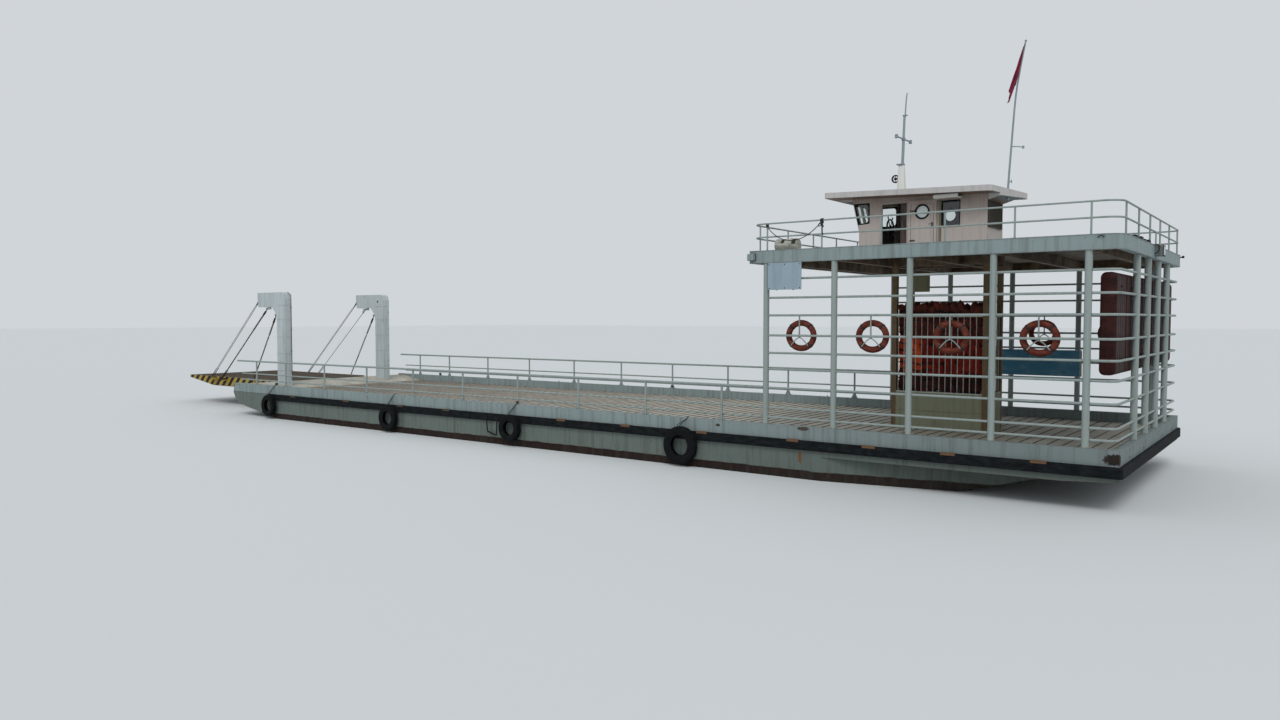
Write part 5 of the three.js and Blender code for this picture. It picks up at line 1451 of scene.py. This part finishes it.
horn.turned([(0.092 + 0.019 * math.cos(t), 0.028 * math.sin(t)) for t in around], horn_at, (0, 1, 0), 40,
            True)
for k in range(3):
    turn = math.radians(60 * k + 30)
    reach = Vector((math.cos(turn), 0, math.sin(turn))) * 0.085
    horn.tube([horn_at - reach, horn_at + reach], 0.008, 8)
horn.turned([(0.001, -0.034), (0.030, -0.028), (0.034, 0.0), (0.030, 0.028), (0.001, 0.034)], horn_at,
            (0, 1, 0), 24)
horn.tube([(-10.03, 0, 8.60), (-9.93, 0, 8.60)], 0.014, 10)
horn.piece("ring_horn", channel_rubber, "mast_paint")

STAFF = [(-12.862, 0, 7.80), (-12.858, 0, 8.088), (-12.92, 0, 9.13), (-13.00, 0, 10.29), (-13.09, 0, 10.95),
         (-13.22, 0, 11.68)]
staff = Form()
line = smooth_route(STAFF, 6)
staff.tube(line, [0.028 - 0.010 * i / (len(line) - 1) for i in range(len(line))], 16)
staff.turned([(0.001, 0.0), (0.026, 0.004), (0.030, 0.020), (0.018, 0.036), (0.001, 0.040)],
             (-13.22, 0, 11.672), (-0.17, 0, 0.98), 16)
staff.block((-12.900, -0.045, 7.99), (-12.825, 0.045, 8.06), 0.008)
staff.block((-12.892, -0.035, 7.80), (-12.834, 0.035, 7.86), 0.008)
staff.tube(smooth_route([(-12.915, 0, 9.13), (-13.02, 0, 9.125), (-13.12, 0, 9.108), (-13.20, 0, 9.095)]),
           0.012, 12)
staff.turned([(0.001, -0.035), (0.024, -0.033), (0.028, 0.0), (0.024, 0.033), (0.001, 0.035)],
             (-13.205, 0, 9.090), (0, 0, 1), 16)
staff.tube([(-12.885, 0, 8.26), (-12.935, 0, 8.27)], 0.010, 10)
staff.turned([(0.001, -0.045), (0.013, -0.040), (0.013, 0.040), (0.001, 0.045)], (-12.938, 0, 8.27),
             (0.1, 0, 1), 12)
staff.piece("bent_flagstaff", pole_zinc, "mast_paint", replaced=["flagstaff"])


# The flag is plain red bunting, 0.6 m on the hoist and 0.9 m on the fly, and hangs limp.
FLAG_FLY = 0.9


def hung_flag(frames):
    """Bunting cut flat, let fall pleated from its hoist in a light air from astern, as points and faces."""
    down, fly, droop = 18, 27, math.radians(72)
    top, low = Vector((-13.214, 0.024, 11.650)), Vector((-13.109, 0.024, 11.060))
    across, hanging = Vector((0.985, 0, 0.175)), Vector((math.cos(droop), 0, -math.sin(droop)))
    cut, drop = [], []
    for j in range(fly + 1):
        for i in range(down + 1):
            hoist = top.lerp(low, i / down)
            cut.append(hoist + across * (FLAG_FLY * j / fly))
            pleat = 0.07 * math.sin(5 * math.pi * i / down) * min(1, 3 * j / fly)
            drop.append(hoist + hanging * (FLAG_FLY * j / fly) + Vector((0, pleat, 0)))
    faces = [(a, a + 1, a + down + 2, a + down + 1) for j in range(fly) for i in range(down)
             for a in [j * (down + 1) + i]]
    mesh = bpy.data.meshes.new("flag_pattern")
    mesh.from_pydata(cut, [], faces)
    made = bpy.data.objects.new("flag_pattern", mesh)
    bpy.context.scene.collection.objects.link(made)
    flat = made.shape_key_add(name="flat")
    falling = made.shape_key_add(name="falling")
    for point, place in zip(falling.data, drop):
        point.co = place
    falling.value = 1.0
    made.vertex_groups.new(name="hoist").add(list(range(down + 1)), 1.0, "REPLACE")
    cloth = made.modifiers.new("Cloth", "CLOTH")
    cloth.settings.rest_shape_key = flat
    cloth.settings.quality = 8
    cloth.settings.mass = 0.15
    cloth.settings.shear_stiffness = 1.0
    cloth.settings.bending_stiffness = 0.01
    cloth.settings.vertex_group_mass = "hoist"
    cloth.collision_settings.use_self_collision = True
    cloth.collision_settings.self_distance_min = 0.004
    # The light air is a little of gravity turned forward.
    bpy.context.scene.gravity = (2.3, 0.0, -9.5)
    fallen = after_cloth(made, cloth, frames)
    bpy.context.scene.gravity = (0.0, 0.0, -9.81)
    bpy.data.objects.remove(made)
    return fallen, faces


flag_weave = woven_nylon("plain_weave_bunting", "#6a1a31", "#97304c", 0.1)
bunting = Form()
bunting.points, bunting.faces = hung_flag(110)
flag = bunting.piece("flag_bunting", flag_weave, "flag_cloth", replaced=["flag"], sharp=80)

# Propellers
# Cast bronze, dulled brown and mottled under water: a turned hub with a fairing cone and four swept, twisted
# blades. The two screws are mirror images.
bronze, tree, shader, place = new_finish("cast_bronze", Metallic=1.0, Roughness=0.45)
patina = add(tree, "TexNoise", {"Vector": place, "Scale": 12.0, "Detail": 6.0}).outputs["Fac"]
tint = add(tree, "ValToRGB", {"Fac": patina}, stops=((0.0, "#4b3a22"), (1.0, "#9a7a43")))
tree.links.new(tint.outputs[0], shader.inputs["Base Color"])
for side, s in (("port", 1), ("starboard", -1)):
    centre = sum((Vector(corner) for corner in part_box(f"propeller_{side}")), Vector()) / 2
    screw = Form()
    screw.turned([(0.001, -0.100), (0.030, -0.098), (0.062, -0.080), (0.084, -0.045), (0.084, 0.085),
                  (0.078, 0.100), (0.001, 0.102)], centre, (1, 0, 0), 36)
    for blade in range(4):
        outline = []
        for step_out in range(13):
            t = step_out / 12
            radius = 0.070 + 0.265 * t
            chord = 0.105 * math.sin(math.pi * min(1.0, 0.30 + 0.66 * t)) ** 0.6 + 0.004
            pitch = math.atan(0.42 / (2 * math.pi * radius))
            around = s * (blade * math.pi / 2 + 0.28 * t * t)
            out = Vector((0, math.cos(around), math.sin(around)))
            turn = Vector((0, -math.sin(around), math.cos(around))) * s
            forward = Vector((1, 0, 0))
            along = forward * math.sin(pitch) + turn * math.cos(pitch)
            normal = forward * math.cos(pitch) - turn * math.sin(pitch)
            thick = 0.013 * (1 - t) + 0.003
            outline.append([centre + out * radius + along * (chord * math.cos(2 * math.pi * k / 14))
                            + normal * (thick * math.sin(2 * math.pi * k / 14)) for k in range(14)])
        screw.rings(outline)
    screw.piece(f"propeller_screw_{side}", bronze, "propeller_bronze", f"propeller_{side}",
                [f"propeller_{side}"])

# Floor and light
# A plain pale floor at the waterline under a bright even sky, with one large soft light from the port
# quarter.
floor_mesh = bpy.data.meshes.new("studio_floor")
reach = 400.0
floor_mesh.from_pydata([(-reach, -reach, WATERLINE), (reach, -reach, WATERLINE), (reach, reach, WATERLINE),
                        (-reach, reach, WATERLINE)], [], [(0, 1, 2, 3)])
floor = bpy.data.objects.new("studio_floor", floor_mesh)
bpy.context.scene.collection.objects.link(floor)
floor_matt, tree, shader, place = new_finish("matt_studio_floor", Roughness=0.9)
shader.inputs["Base Color"].default_value = linear("#d3d6d6")
floor_mesh.materials.append(floor_matt)

world = bpy.data.worlds.new("studio")
bpy.context.scene.world = world
world.use_nodes = True
world.node_tree.nodes["Background"].inputs["Color"].default_value = linear("#e6ebf0")
world.node_tree.nodes["Background"].inputs["Strength"].default_value = 0.8
sun = bpy.data.objects.new("soft_key", bpy.data.lights.new("soft_key", "SUN"))
sun.data.energy = 1.0
sun.data.angle = math.radians(25)
sun.rotation_euler = Vector((0.32, -0.55, -0.77)).to_track_quat("-Z", "Y").to_euler()
bpy.context.scene.collection.objects.link(sun)
